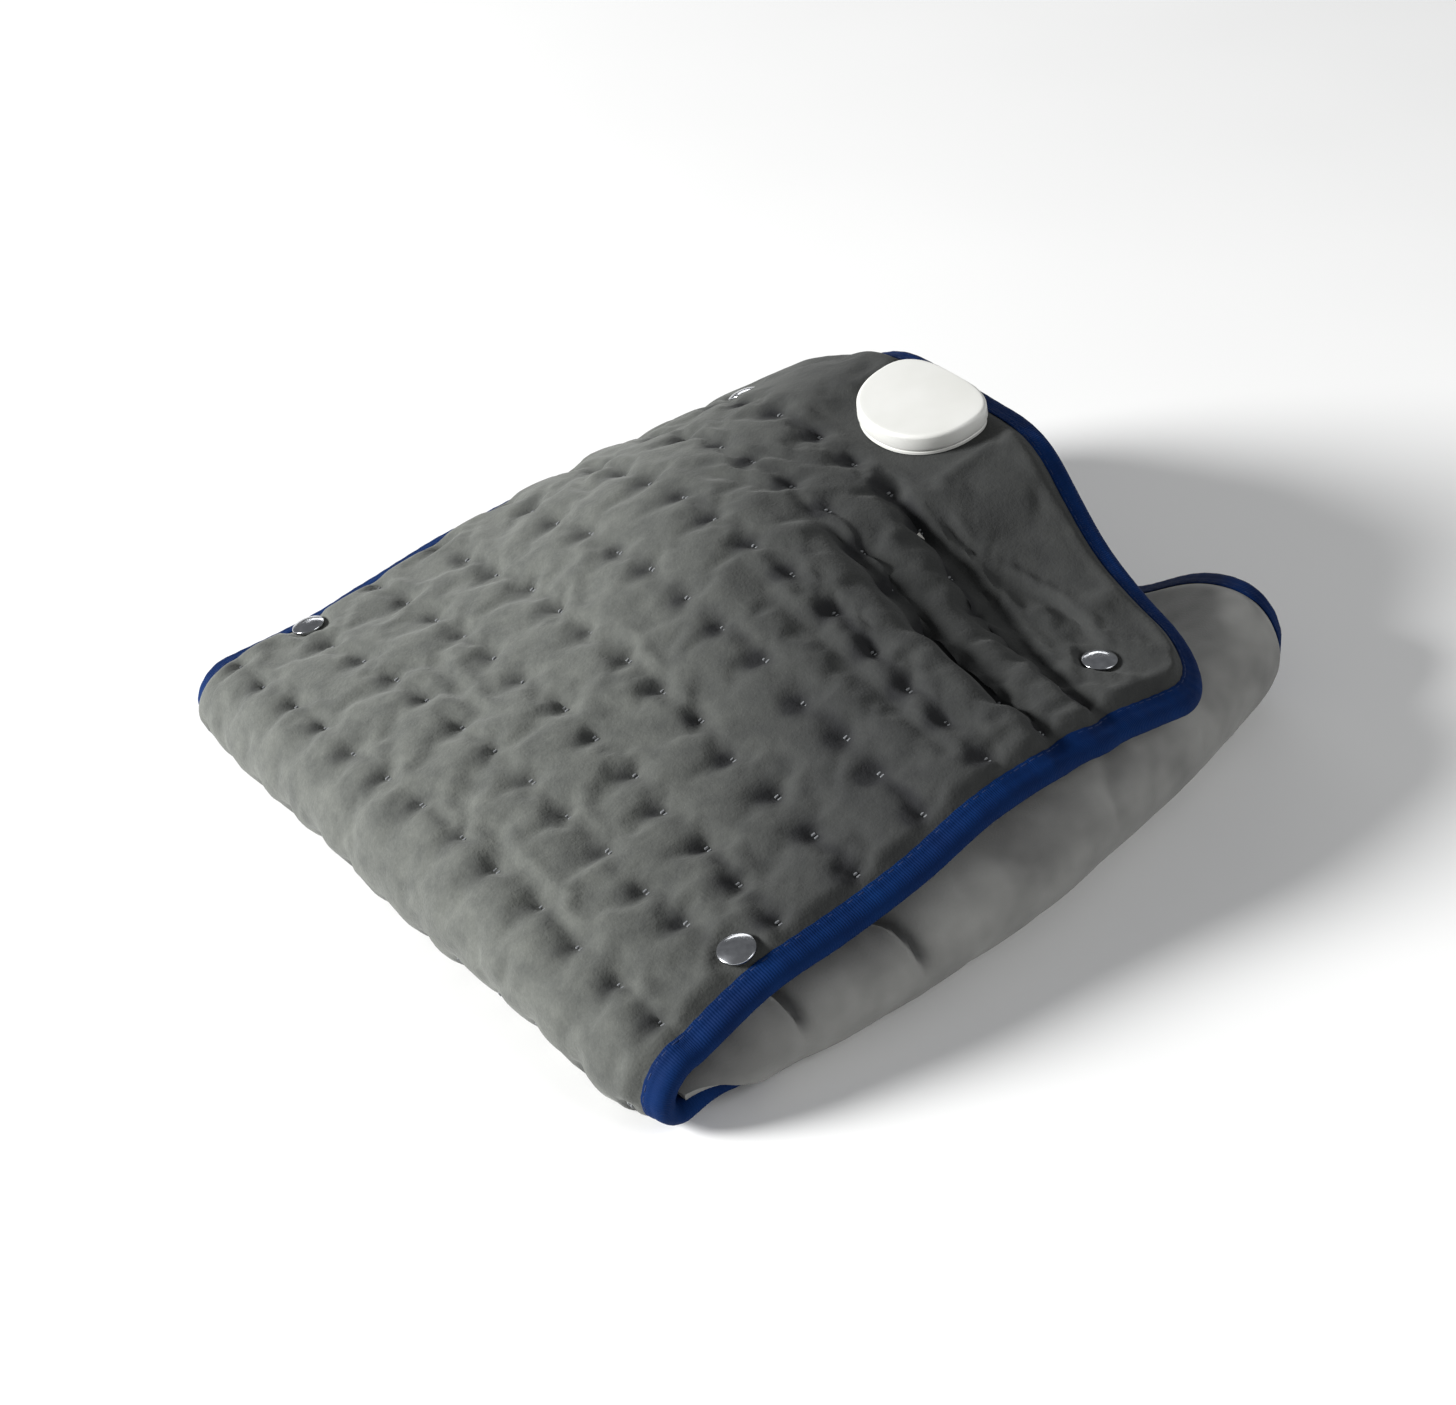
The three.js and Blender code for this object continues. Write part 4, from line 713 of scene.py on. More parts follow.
def plush_material(light, dark):
    """Polyester micro-plush, sheared short: it scatters light softly and mottles where its pile leans;
    painted shade darkens it and weakens its sheen.
    """
    material, tree, coordinates = new_material("micro_plush")
    where = coordinates["Object"]
    lean = noise(tree, where, size_mm=9, detail=3, roughness=0.6)
    pile = noise(tree, where, size_mm=0.9, roughness=0.7)
    clumps = noise(tree, where, size_mm=2.6, roughness=0.6)
    mixed = add_node(tree, "ShaderNodeMath", {"operation": "MULTIPLY_ADD"}, i0=pile, i1=0.35, i2=lean)
    mottled = between(tree, mixed.outputs[0], dark, light, from_min=0.45, from_max=0.95)
    # 1B1C1E is the painted shade colour; the sheen is weakened where shade is painted.
    unshaded_share, colour = with_painted_shade(tree, mottled, "#1B1C1E")
    sheen = add_node(tree, "ShaderNodeMath", {"operation": "MULTIPLY"}, i0=unshaded_share, i1=0.3).outputs[0]
    return shade(material, tree, colour, [(clumps, 0.25), (pile, 0.16)], Roughness=0.95, Sheen_Weight=sheen,
                 Sheen_Roughness=0.45, Sheen_Tint=linear("#C8CAC6"))


def brushed_cloth_material(light, dark):
    """Brushed polyester knit: flat and matt, with a faint fine grain; painted shade darkens it in its
    creases.
    """
    material, tree, coordinates = new_material("brushed_knit")
    cloud = noise(tree, coordinates["Object"], size_mm=22)
    grain = noise(tree, coordinates["Object"], size_mm=0.7, roughness=0.6)
    # 2A2B2C is the painted shade colour in the creases.
    colour = with_painted_shade(tree, between(tree, cloud, dark, light), "#2A2B2C")[1]
    return shade(material, tree, colour, [(grain, 0.12)], Roughness=0.9,
                 Sheen_Weight=0.2, Sheen_Roughness=0.5, Sheen_Tint=linear("#D8D8D6"))


RIB_PITCH = 0.9 * MM


def tape_material(light, dark):
    """Woven polyester binding tape: fine ribs across its length, drawn coarse enough to show.

    A wave texture of scale s has a period of pi / 10 / s.
    """
    material, tree, coordinates = new_material("woven_tape")
    ribs = add_node(tree, "ShaderNodeTexWave", {"bands_direction": "X"}, Vector=coordinates["UV"],
                    Scale=math.pi / 10 / RIB_PITCH, Distortion=0.6, Detail=1.0,
                    Detail_Scale=2.0).outputs["Fac"]
    cloud = noise(tree, coordinates["Object"], size_mm=14)
    grain = noise(tree, coordinates["Object"], size_mm=1.1)
    return shade(material, tree, between(tree, cloud, dark, light), [(ribs, 0.1), (grain, 0.1)],
                 Roughness=0.75, Specular_IOR_Level=0.1)


def plain_material(name, light, dark, *, cloud, grain, depth_mm, **settings):
    """Two near tones in a cloud of noise, over a fine relief; a noise is (size in mm, detail, roughness)."""
    material, tree, coordinates = new_material(name)
    tone = between(tree, noise(tree, coordinates["Object"], *cloud), dark, light)
    relief = noise(tree, coordinates["Object"], *grain)
    return shade(material, tree, tone, [(relief, depth_mm)], **settings)


def thread_material(name, light, dark):
    """Spun polyester thread, twisted: matt with a fine grain."""
    return plain_material(name, light, dark, cloud=(0.3,), grain=(0.3,), depth_mm=0.08, Roughness=0.8)


def moulded_material(name, light, dark, *, roughness, grain_mm=0.35, depth_mm=0.012):
    """Injection-moulded plastic: even colour, soft gloss, and the faint grain of a spark-eroded mould."""
    return plain_material(name, light, dark, cloud=(18,), grain=(grain_mm,), depth_mm=depth_mm,
                          Roughness=roughness)


def metal_material(name, light, dark, *, roughness):
    """Plated steel or brass: bright, with faint handling marks."""
    return plain_material(name, light, dark, cloud=(3,), grain=(0.8, 3, 0.6), depth_mm=0.006,
                          Roughness=roughness, Metallic=1.0)


def fibre_material(name, light, dark, *, size_mm):
    """Needled fleece or felt: loose fibres, very matt."""
    fibres = (size_mm, 4, 0.7)
    return plain_material(name, light, dark, cloud=fibres, grain=fibres, depth_mm=0.3, Roughness=1.0)


MATERIALS = {}


def material_of(name):
    """A material by its slot's or thread's name, made once from the colours in the finish settings."""
    finish = bpy.context.scene.pad_finish
    makers = {
        "plush": lambda: plush_material(finish.plush_light, finish.plush_dark),
        "back_cloth": lambda: brushed_cloth_material(finish.cloth_light, finish.cloth_dark),
        "navy_tape": lambda: tape_material(finish.tape_light, finish.tape_dark),
        "tape_thread": lambda: thread_material("tape_thread", "#06285A", "#041E46"),
        "tuft_thread": lambda: thread_material("tuft_thread", "#85878A", "#6A6C6E"),
        "white_plastic": lambda: moulded_material(
            "white_abs", finish.housing_light, "#D6D6D1", roughness=0.34),
        "dark_plastic": lambda: moulded_material("black_abs", "#303032", "#262628", roughness=0.5),
        "board_laminate": lambda: moulded_material(
            "solder_mask", "#347550", "#2B6442", roughness=0.4, grain_mm=1.2, depth_mm=0.03),
        "silicone_wire": lambda: moulded_material("silicone", "#C04C34", "#AC3E2A", roughness=0.55),
        "polished_steel": lambda: metal_material("nickel_plated_steel", "#C6C8CC", "#ABADB1", roughness=0.2),
        "brass_contact": lambda: metal_material("brass", "#CDA850", "#BC9540", roughness=0.28),
        "fleece": lambda: fibre_material("polyester_wadding", "#EDEBE5", "#D8D6CE", size_mm=1.4),
        "felt": lambda: fibre_material("carrier_felt", "#D5D0C1", "#C2BDAD", size_mm=1.0),
    }
    if name not in MATERIALS:
        MATERIALS[name] = makers[name]()
    return MATERIALS[name]


# Settings that a user would change.

def hex_setting(name, description, default):
    """A text setting that holds an sRGB hex colour."""
    return bpy.props.StringProperty(name=name, description=description, default=default, maxlen=7)


class PadFinish(bpy.types.PropertyGroup):
    """Colours of the cloths, the tape and the housing."""

    plush_light: hex_setting("Plush, light", "Colour where the pile leans to the light", "#62645F")
    plush_dark: hex_setting("Plush, dark", "Colour where the pile leans away", "#4A4C49")
    cloth_light: hex_setting("Back cloth, light", "Lighter tone of the smooth side", "#8E8E8B")
    cloth_dark: hex_setting("Back cloth, dark", "Darker tone of the smooth side", "#6F6F6D")
    tape_light: hex_setting("Tape, light", "Lighter tone of the binding", "#002352")
    tape_dark: hex_setting("Tape, dark", "Darker tone of the binding", "#001B45")
    housing_light: hex_setting("Housing", "Colour of the power inlet's housing", "#DCDCD8")


def number_setting(name, description, default, least, most, unit):
    """A number that a user can set, between two bounds."""
    return bpy.props.FloatProperty(name=name, description=description, default=default, min=least, max=most,
                                   unit=unit)


class PadSizes(bpy.types.PropertyGroup):
    """Sizes of the cloth's detail."""

    grid: number_setting("Cover grid", "Distance between the covers' mesh points",
                         1.7 * MM, MM, 6 * MM, "LENGTH")
    tape_width: number_setting("Tape width", "How far the folded tape reaches in from the rim",
                               9.2 * MM, 9 * MM, 14 * MM, "LENGTH")
    stitch: number_setting("Tape stitch", "Length of one stitch in the tape's seam",
                           3.2 * MM, 2 * MM, 6 * MM, "LENGTH")


class PadLight(bpy.types.PropertyGroup):
    """Studio light."""

    key: number_setting("Key light", "Power of the large soft light on the left", 165, 0, 1000, "POWER")
    fill: number_setting("Fill light", "Power of the weak light from the right", 22, 0, 1000, "POWER")
    strip: number_setting("Strip light", "Power of the long light behind, which shows in the metal",
                          9, 0, 1000, "POWER")


# Covers.

# Inner faces' heights off the middle surface, a cover's least thickness, and how full its padding is.
BACK_FACE_INSIDE, FRONT_INSIDE, COVER_LEAST, PADDING_FILL = -2.6, 2.9, 0.5, 0.5
# Covers that the photo hides have a coarser grid. Painted shade in a base crease is darkest where it is
# DARK_CREASE deep.
UNSEEN_STEP, CREASE_SHADE, DARK_CREASE = 1.5, 0.8, 2.5
# The swelling: its grid, how far below the face it starts, its pressure, slack, frames and greatest rise.
SWELL_STEP, SWELL_START, SWELL_PRESSURE, SWELL_SLACK, SWELL_FRAMES, SWELL_CAP = 4.0, 1.0, 2.2, 0.04, 20, 0.9
# Where the cover is held: its depth of pucker and crease, and distances from rim, connector and snaps.
HELD_PUCKER, HELD_CREASE, HELD_RIM, HELD_CONNECTOR, HELD_SNAP = 2.1, 1.1, 13, 6, 8


def held_down(along, across, reach):
    """Where the quilted cover can't swell: at its stitches, creases, rim, snaps and connector."""
    held = (puckers(along, across) > HELD_PUCKER) | (inset_of(along, across, reach) < HELD_RIM)
    if reach == FLAP_REACH:
        held |= np.maximum(*past_connector(along, across)) < HELD_CONNECTOR
        held |= near_snaps(along, across) < HELD_SNAP
        held |= creases(along, across, FLAP_CREASES) > HELD_CREASE
    return held


def swollen(reach, direction):
    """Displacements of a cover, in millimetres, from a cloth simulation on a coarser grid over the same area.

    The cloth is cut a little larger than its place, held at its stitches, and blown up from inside.
    """
    along, across = cover_grid(reach, direction, SWELL_STEP)
    off = quilted_off(along, across, reach) - SWELL_START
    outer = place(along, across, off)
    piece = slab("swelling", outer, place(along, across, np.minimum(FRONT_INSIDE, off) - SWELL_START))
    held = np.concatenate([held_down(along, across, reach).ravel(), np.ones(along.size, bool)])
    group = piece.vertex_groups.new(name="held")
    group.add(np.flatnonzero(held).tolist(), 1.0, "REPLACE")
    cloth = piece.modifiers.new("cloth", "CLOTH")
    settings = cloth.settings
    settings.quality, settings.mass, settings.air_damping = 6, 0.3, 4
    settings.tension_stiffness = settings.compression_stiffness = 12
    settings.shear_stiffness, settings.bending_stiffness = 4, 0.4
    settings.use_pressure, settings.uniform_pressure_force = True, SWELL_PRESSURE
    settings.shrink_min = -SWELL_SLACK
    settings.vertex_group_mass = "held"
    settings.effector_weights.gravity = 0
    cloth.collision_settings.use_collision = False
    scene = bpy.context.scene
    for number in range(1, SWELL_FRAMES + 1):
        scene.frame_set(number)
    blown = piece.evaluated_get(bpy.context.evaluated_depsgraph_get()).to_mesh()
    moved = np.empty(len(blown.vertices) * 3, np.float32)
    blown.vertices.foreach_get("co", moved)
    moved = moved.reshape(-1, 3)[:along.size].reshape(outer.shape) / MM - outer
    bpy.data.objects.remove(piece)
    scene.frame_set(1)
    length = np.linalg.norm(moved, axis=-1, keepdims=True)
    return moved * SWELL_CAP * np.tanh(length / SWELL_CAP) / np.maximum(length, 1e-6)


def lit(piece, light):
    """Keeps the painted light and shade at each point of a slab's outer and inner grids."""
    layer = piece.data.attributes.new("pile_light", "FLOAT", "POINT")
    layer.data.foreach_set("value", np.tile(light.ravel(), 2))
    return piece


def quilted_slab(name, reach, direction, step):
    """Quilted cover: its face with the swelling laid over it, and its inner side close under the face."""
    along, across = cover_grid(reach, direction, step)
    off = quilted_off(along, across, reach)
    face = place(along, across, off)
    swelling = swollen(reach, direction)
    for axis in (0, 1):
        places = np.linspace(0, 1, swelling.shape[axis])
        at = np.linspace(0, 1, face.shape[axis])
        swelling = np.moveaxis(through(places, np.moveaxis(swelling, axis, 0), at), 0, axis)
    face = face + swelling
    face[..., 2] = np.maximum(face[..., 2], 0)
    piece = slab(name, face, place(along, across, np.minimum(FRONT_INSIDE, off - COVER_LEAST)))
    return lit(piece, pile_light(along, across))


class PAD_OT_covers(bpy.types.Operator):
    """Make the quilted and the smooth covers of both halves"""

    bl_idname = "heating_pad.covers"
    bl_label = "Covers"

    def execute(self, context):
        step = context.scene.pad_sizes.grid / MM
        plush, cloth = material_of("plush"), material_of("back_cloth")
        for reach, direction, body, table, quilted, plain in (
            (FLAP_REACH, 1, None, (),
             ("quilted_cover", step, ["flap_front_cover", "fold_front_cover"]),
             ("inner_cloth", UNSEEN_STEP * step, ["flap_back_cover", "fold_back_cover"])),
            (BASE_REACH, -1, "lower_half", BASE_CREASES,
             ("lower_quilted_cover", UNSEEN_STEP * step, ["base_front_cover"]),
             ("lower_cloth", step, ["base_back_cover"])),
        ):
            name, spacing, nodes = quilted
            piece = quilted_slab(name, reach, direction, spacing)
            finish_piece(piece, plush, body, nodes)

            name, spacing, nodes = plain
            along, across = cover_grid(reach, direction, spacing)
            outer = place(along, across, -plain_off(along, across, reach, table))
            # Painted shade in the cloth's creases.
            dark = np.clip(creases(along, across, table) / DARK_CREASE, 0, 1) ** 2
            piece = lit(slab(name, outer, place(along, across, BACK_FACE_INSIDE)), 1 - CREASE_SHADE * dark)
            finish_piece(piece, cloth, body, nodes)
        return {"FINISHED"}


# Tape.

def outline_path(reach, direction, step):
    """Points of the sheet's outline and the way inwards at each: near side, corner, end, corner, far side."""
    straight = np.arange(FOLD_START, direction * (reach - CORNER_RADIUS), direction * step)
    side = np.stack([straight, np.full_like(straight, -HALF_WIDTH)], 1)
    angle = np.linspace(0, np.pi / 2, round(CORNER_RADIUS * 2 / step))
    corner = np.stack([direction * (reach - CORNER_RADIUS + CORNER_RADIUS * np.sin(angle)),
                       CORNER_RADIUS - HALF_WIDTH - CORNER_RADIUS * np.cos(angle)], 1)
    half_end = np.arange(CORNER_RADIUS - HALF_WIDTH + step, 0, step)
    end = np.stack([np.full_like(half_end, direction * reach), half_end], 1)
    points = np.concatenate([side, corner, end])
    inward = np.concatenate([
        np.broadcast_to([0.0, 1.0], side.shape),
        np.stack([-direction * np.sin(angle), np.cos(angle)], 1),
        np.broadcast_to([-float(direction), 0.0], end.shape)])
    mirror = np.array([1, -1])
    return np.concatenate([points, points[::-1] * mirror]), np.concatenate([inward, inward[::-1] * mirror])


# Half the folded tape's thickness at its inner edge and its nose, the nose's length, the cloth's thickness,
# and how far in from the rim its seam runs.
TAPE_FACE, TAPE_NOSE, TAPE_EDGE, TAPE_THICK, SEAM_INSET = 5.0, 3.9, 4.8, 0.8, 8.0
TAPE_STEP, TAPE_PUCKER, TAPE_PUCKER_LENGTH, TAPE_LUMPS = 2.0, 0.12, 6.5, (16, 40)
SEAM_DEPTH, SEAM_WIDTH, EDGE_DEPTH, EDGE_WIDTH = 0.4, 0.6, 0.5, 0.8
# Inside the nose the tape is thinned below these heights: across its faces and across its edge.
THIN_FACE, THIN_EDGE = 3, 4
NOSE_STEPS, LEG_STEPS, UPPER_SEED, LOWER_SEED = 17, 9, 21, 22
STITCH_SPACING, STITCH_SINK, THREAD_RADIUS = 1.35, 0.75, 0.3


def tape_section(width):
    """Folded tape: half an ellipse round the rim and two legs that widen inwards, then back inside it."""
    angle = np.linspace(-np.pi / 2, np.pi / 2, NOSE_STEPS)
    inset, off = TAPE_EDGE * (1 - np.cos(angle)), TAPE_NOSE * np.sin(angle)
    legs = np.linspace(width, TAPE_EDGE, LEG_STEPS)[:-1]
    rise = TAPE_NOSE + (TAPE_FACE - TAPE_NOSE) * smooth((legs - TAPE_EDGE) / (width - TAPE_EDGE))
    seam_line = SEAM_DEPTH * np.exp(-((legs - SEAM_INSET) / SEAM_WIDTH) ** 2)
    face = rise - seam_line - EDGE_DEPTH * smooth((legs - width + EDGE_WIDTH) / EDGE_WIDTH)
    leg = np.stack([legs, face], 1)
    outer = np.concatenate([leg * [1, -1], np.stack([inset, off], 1), leg[::-1]])
    inner = outer[::-1].copy()
    inner[:, 1] -= np.sign(inner[:, 1]) * TAPE_THICK * np.minimum(1, np.abs(inner[:, 1]) / THIN_FACE)
    shift = TAPE_THICK * (1 - np.minimum(1, np.abs(inner[:, 1]) / THIN_EDGE))
    inner[:, 0] = np.minimum(inner[:, 0] + shift, width)
    return outer, inner


def tape(name, reach, direction, width, seed):
    """Binding: the folded section carried round the outline, slightly drawn in between stitches."""
    points, inward = outline_path(reach, direction, TAPE_STEP)
    outer, inner = tape_section(width)
    section = np.concatenate([outer, inner])
    at = points[:, None] + inward[:, None] * section[None, :, :1]
    run = np.concatenate([[0], np.cumsum(np.linalg.norm(np.diff(points, axis=0), axis=1))])
    pucker = TAPE_PUCKER * np.sin(2 * np.pi * run / TAPE_PUCKER_LENGTH)
    pucker += lumps(run, run * 0, seed, TAPE_LUMPS, TAPE_PUCKER)
    off = section[None, :, 1] * (1 + pucker[:, None] / TAPE_FACE)
    body = place(at[..., 0], at[..., 1], off)
    stations, count = off.shape
    index = np.arange(stations * count).reshape(stations, count)
    around = np.concatenate([[0], np.cumsum(np.linalg.norm(np.diff(section, axis=0), axis=1)), [0]])
    around[-1] = around[-2] + 1
    faces = quads_of(np.hstack([index, index[:, :1]]))
    u = np.stack([run[:-1], run[:-1], run[1:], run[1:]], 1)[:, None].repeat(count, 1)
    v = np.stack([around[:-1], around[1:], around[1:], around[:-1]], 1)[None].repeat(stations - 1, 0)
    uv = np.stack([u, v], -1).reshape(-1, 4, 2) * MM
    half = len(outer)
    ends = []
    for ring in (index[0], index[-1]):
        out, back = ring[:half], ring[half:][::-1]
        ends.append(np.stack([out[:-1], out[1:], back[1:], back[:-1]], 1))
    faces = np.concatenate([faces, ends[0][:, ::-1], ends[1]])
    uv = np.concatenate([uv, np.zeros((2 * (half - 1), 4, 2))])
    return new_mesh(name, body.reshape(-1, 3) * MM, faces, uv)


# Rings of one stitch: their places along it, widths and heights, as shares of its length and radius.
RING_PLACES, RING_WIDTHS, RING_HEIGHTS = [-0.5, -0.3, 0.3, 0.5], [0.15, 1.0, 1.0, 0.15], [-0.5, 0, 0, -0.5]
THREAD_SIDES = 6


def stitch_bodies(name, centres, ahead, up, length, radius):
    """Many short threads in one mesh: each a six-sided spindle of four rings, humped in its middle."""
    places, widths, heights = (np.array(v) for v in (RING_PLACES, RING_WIDTHS, RING_HEIGHTS))
    angle = 2 * np.pi * np.arange(THREAD_SIDES) / THREAD_SIDES
    side = np.cross(up, ahead)
    ring = (side[:, None, None] * np.cos(angle)[:, None] + up[:, None, None] * np.sin(angle)[:, None])
    spine = (centres[:, None] + ahead[:, None] * (places * length)[:, None]
             + up[:, None] * (heights * radius)[:, None])
    points = spine[:, :, None] + ring * (widths * radius)[:, None, None]
    rings = len(places)
    index = np.arange(points.size // 3).reshape(-1, rings, THREAD_SIDES)
    after = np.roll(index, -1, axis=2)
    walls = np.stack([index[:, :-1], after[:, :-1], after[:, 1:], index[:, 1:]], -1).reshape(-1, 4)
    ends = [index[:, r][:, order] for r, order in (
        (0, (3, 2, 1, 0)), (0, (5, 4, 3, 0)), (rings - 1, (0, 1, 2, 3)), (rings - 1, (0, 3, 4, 5)))]
    return new_mesh(name, points.reshape(-1, 3) * MM, np.concatenate([walls, *ends]))


def seam(name, reach, direction, stitch, side):
    """Row of stitches along the tape's inner edge, on one face of the sheet."""
    points, inward = outline_path(reach, direction, stitch * STITCH_SPACING)
    at = points + inward * SEAM_INSET
    centres = place(at[:, 0], at[:, 1], side * (TAPE_FACE - STITCH_SINK))
    up = side * quilted_normal(LATTICE, at[:, 0], at[:, 1])
    return stitch_bodies(name, centres, unit(np.gradient(centres, axis=0)), up, stitch, THREAD_RADIUS)


class PAD_OT_tape(bpy.types.Operator):
    """Make the navy binding of both halves and its seams"""

    bl_idname = "heating_pad.tape"
    bl_label = "Binding tape"

    def execute(self, context):
        sizes = context.scene.pad_sizes
        width, stitch = sizes.tape_width / MM, sizes.stitch / MM
        navy, thread = material_of("navy_tape"), material_of("tape_thread")
        upper, lower = ("upper", FLAP_REACH, 1, None), ("lower", BASE_REACH, -1, "lower_half")
        for (half, reach, direction, body), seed, nodes in (
            (upper, UPPER_SEED, ["flap_binding", "fold_binding_near", "fold_binding_far"]),
            (lower, LOWER_SEED, ["base_binding"]),
        ):
            piece = tape(f"{half}_tape", reach, direction, width, seed)
            finish_piece(piece, navy, body, nodes)
        for face, side in (("quilted", 1), ("smooth", -1)):
            for half, reach, direction, body in (upper, lower):
                piece = seam(f"{half}_seam_{face}", reach, direction, stitch, side)
                finish_piece(piece, thread, body)
        return {"FINISHED"}


# The bar of two threads at each tuft: their distance from its middle, height, length and radius.
BAR_HALF, BAR_OFF, BAR_LENGTH, BAR_RADIUS = 0.85, 0.15, 2.2, 0.5


class PAD_OT_tufts(bpy.types.Operator):
    """Make the small bar stitches of the tufts"""

    bl_idname = "heating_pad.tufts"
    bl_label = "Tuft stitches"

    def execute(self, context):
        along, across, sewn = tuft_places()
        for name, rows, reach, body in (
            ("upper_tuft_stitches", slice(BASE_ROWS_OF_TUFTS, None), FLAP_REACH, None),
            ("lower_tuft_stitches", slice(None, BASE_ROWS_OF_TUFTS), BASE_REACH, "lower_half"),
        ):
            a, c = (np.tile(v[rows][sewn[rows]], 2) for v in (along, across))
            c += BAR_HALF * np.repeat([-1, 1], len(c) // 2)
            up = quilted_normal(LATTICE, a, c)
            ahead = unit(middle(LATTICE, a + 1, c) - middle(LATTICE, a - 1, c))
            centres = place(a, c, quilted_off(a, c, reach) + BAR_OFF)
            piece = stitch_bodies(name, centres, ahead, up, BAR_LENGTH, BAR_RADIUS)
            finish_piece(piece, material_of("tuft_thread"), body)
        return {"FINISHED"}


# Snaps.

def rounded_profile(points, steps=5, share=0.35):
    """Outline with its inner corners rounded by quadratic curves over a share of their sides."""
    points = np.asarray(points, float)
    made = [points[0]]
    t = np.linspace(0, 1, steps)[:, None]
    for before, corner, after in zip(points[:-2], points[1:-1], points[2:]):
        start, end = corner + (before - corner) * share, corner + (after - corner) * share
        made.extend((1 - t) ** 2 * start + 2 * t * (1 - t) * corner + t ** 2 * end)
    return np.vstack([*made, points[-1]])


# Half outlines of the snaps' parts, as (radius, height) off the middle surface, from the axis to the axis.
CAP_OUTLINE = [
    (0, 5.0), (1.5, 5.0), (1.5, SNAP_SEAT - 0.2), (SNAP_RADIUS - 0.2, SNAP_SEAT - 0.35),
    (SNAP_RADIUS, SNAP_SEAT + 0.9), (SNAP_RADIUS - 0.9, SNAP_SEAT + 1.35),
    (SNAP_RADIUS - 2.6, SNAP_SEAT + 2.0), (2.0, SNAP_SEAT + 2.35), (0, SNAP_SEAT + 2.4)]
BACK_OUTLINES = {
    "stud": [(0, -9.1), (1.5, -9.1), (1.9, -8.6), (1.6, -7.7), (4.6, -7.6), (5.2, -7.2), (5.2, -6.6),
             (0, -6.6)],
    "socket": [(0, -7.5), (2.2, -7.5), (2.2, -8.5), (4.6, -8.6), (5.2, -8.0), (5.2, -6.6), (0, -6.6)],
}
CAP_SIDES, BACK_SIDES = 64, 48


class PAD_OT_snaps(bpy.types.Operator):
    """Make the snap fasteners' domed caps, studs and sockets"""

    bl_idname = "heating_pad.snaps"
    bl_label = "Snap fasteners"

    def execute(self, context):
        steel = material_of("polished_steel")
        for name, (along, across, part) in SNAPS.items():
            matrix = sheet_frame(along, across, 0)
            for made, outline, sides in (("cap", CAP_OUTLINE, CAP_SIDES),
                                         (part, BACK_OUTLINES[part], BACK_SIDES)):
                piece = turned(f"{made}_{name}", rounded_profile(outline), sides, matrix)
                finish_piece(piece, steel, "upper_half", [f"snap_{made}_{name}"])
        return {"FINISHED"}


# Connector.

FRONT_SQUARENESS, BACK_SQUARENESS = 2.7, 2.1
HOUSING_LOW, HOUSING_HIGH, HOUSING_WALL, HOUSING_ROOF, HOUSING_ROUND = 1.9, 9.4, 2.2, 1.7, 1.5
CROWN, CROWN_START, CROWN_STEPS, ROUND_STEPS, EGG_SIDES = 0.3, 0.95, 9, 8, 144
# The housing's walls lean in by DRAFT from foot to top, and stand in by FOOT below FOOT_RISE.
DRAFT, FOOT, FOOT_RISE, CHAMFER_WIDTH, CHAMFER_HEIGHT = 0.2, 0.35, 1.6, 0.5, 0.4
# The plug's mouth, cut by boxes that reach past the front, and the notch that sets its face back.
MOUTH_WIDTH, MOUTH_BACK, PAST_FRONT, MOUTH_ROOF = 22.0, 2, 30, 0.4
NOTCH_DEPTH, NOTCH_MARGIN, NOTCH_LOW, NOTCH_HIGH, HOLLOW_LOW = 1.3, 0.9, -4, 12, -2
# Profile of the flange: (inset, height, scale) rings.
FLANGE = [(0.5, 0, 0), (0.9, 0, 1), (0.5, 0.3, 1), (0.5, 1.3, 1), (0.8, 1.6, 1), (0.8, 1.6, 0)]


def egg_rings(profile):
    """Rings of an egg outline: (inset, height, scale) each; squarer in front, rounder at the back."""
    angle = 2 * np.pi * (np.arange(EGG_SIDES) + 0.5) / EGG_SIDES
    c, s = np.cos(angle), np.sin(angle)
    front = c > 0
    power = np.where(front, 2 / FRONT_SQUARENESS, 2 / BACK_SQUARENESS)
    profile = np.asarray(profile, float)
    inset, height, scale = (profile[:, k, None] for k in range(3))
    x = np.sign(c) * (np.where(front, CONNECTOR_FRONT, CONNECTOR_BACK) - inset) * np.abs(c) ** power
    y = np.sign(s) * (CONNECTOR_HALF_WIDTH - inset) * np.abs(s) ** power
    return np.stack([x * scale, y * scale, height + 0 * x], -1)


def crowned(low, high, round_size):
    """Rings of a lid: foot, drafted wall, rounded edge, and a top crowned by a parabola to its middle."""
    edge = [(round_size * (1 - math.cos(t)) + DRAFT, high - CROWN - round_size * (1 - math.sin(t)), 1)
            for t in np.linspace(0, np.pi / 2, ROUND_STEPS)]
    top = [(round_size + DRAFT, high - CROWN * k ** 2, k) for k in np.linspace(CROWN_START, 0, CROWN_STEPS)]
    return [(round_size, low, 0), (FOOT + CHAMFER_WIDTH, low, 1), (FOOT, low + CHAMFER_HEIGHT, 1),
            (0, low + FOOT_RISE, 1), *edge, *top]


def carved(piece, cutters):
    """The piece less its cutters, by booleans."""
    for cutter in cutters:
        less = piece.modifiers.new("less", "BOOLEAN")
        less.operation, less.solver, less.object = "DIFFERENCE", "EXACT", cutter
    bpy.context.view_layer.update()
    made = bpy.data.meshes.new_from_object(piece.evaluated_get(bpy.context.evaluated_depsgraph_get()))
    piece.modifiers.clear()
    piece.data = made
    made.set_sharp_from_angle(angle=CARVED_SHARP)
    for cutter in cutters:
        bpy.data.objects.remove(cutter)
    return piece


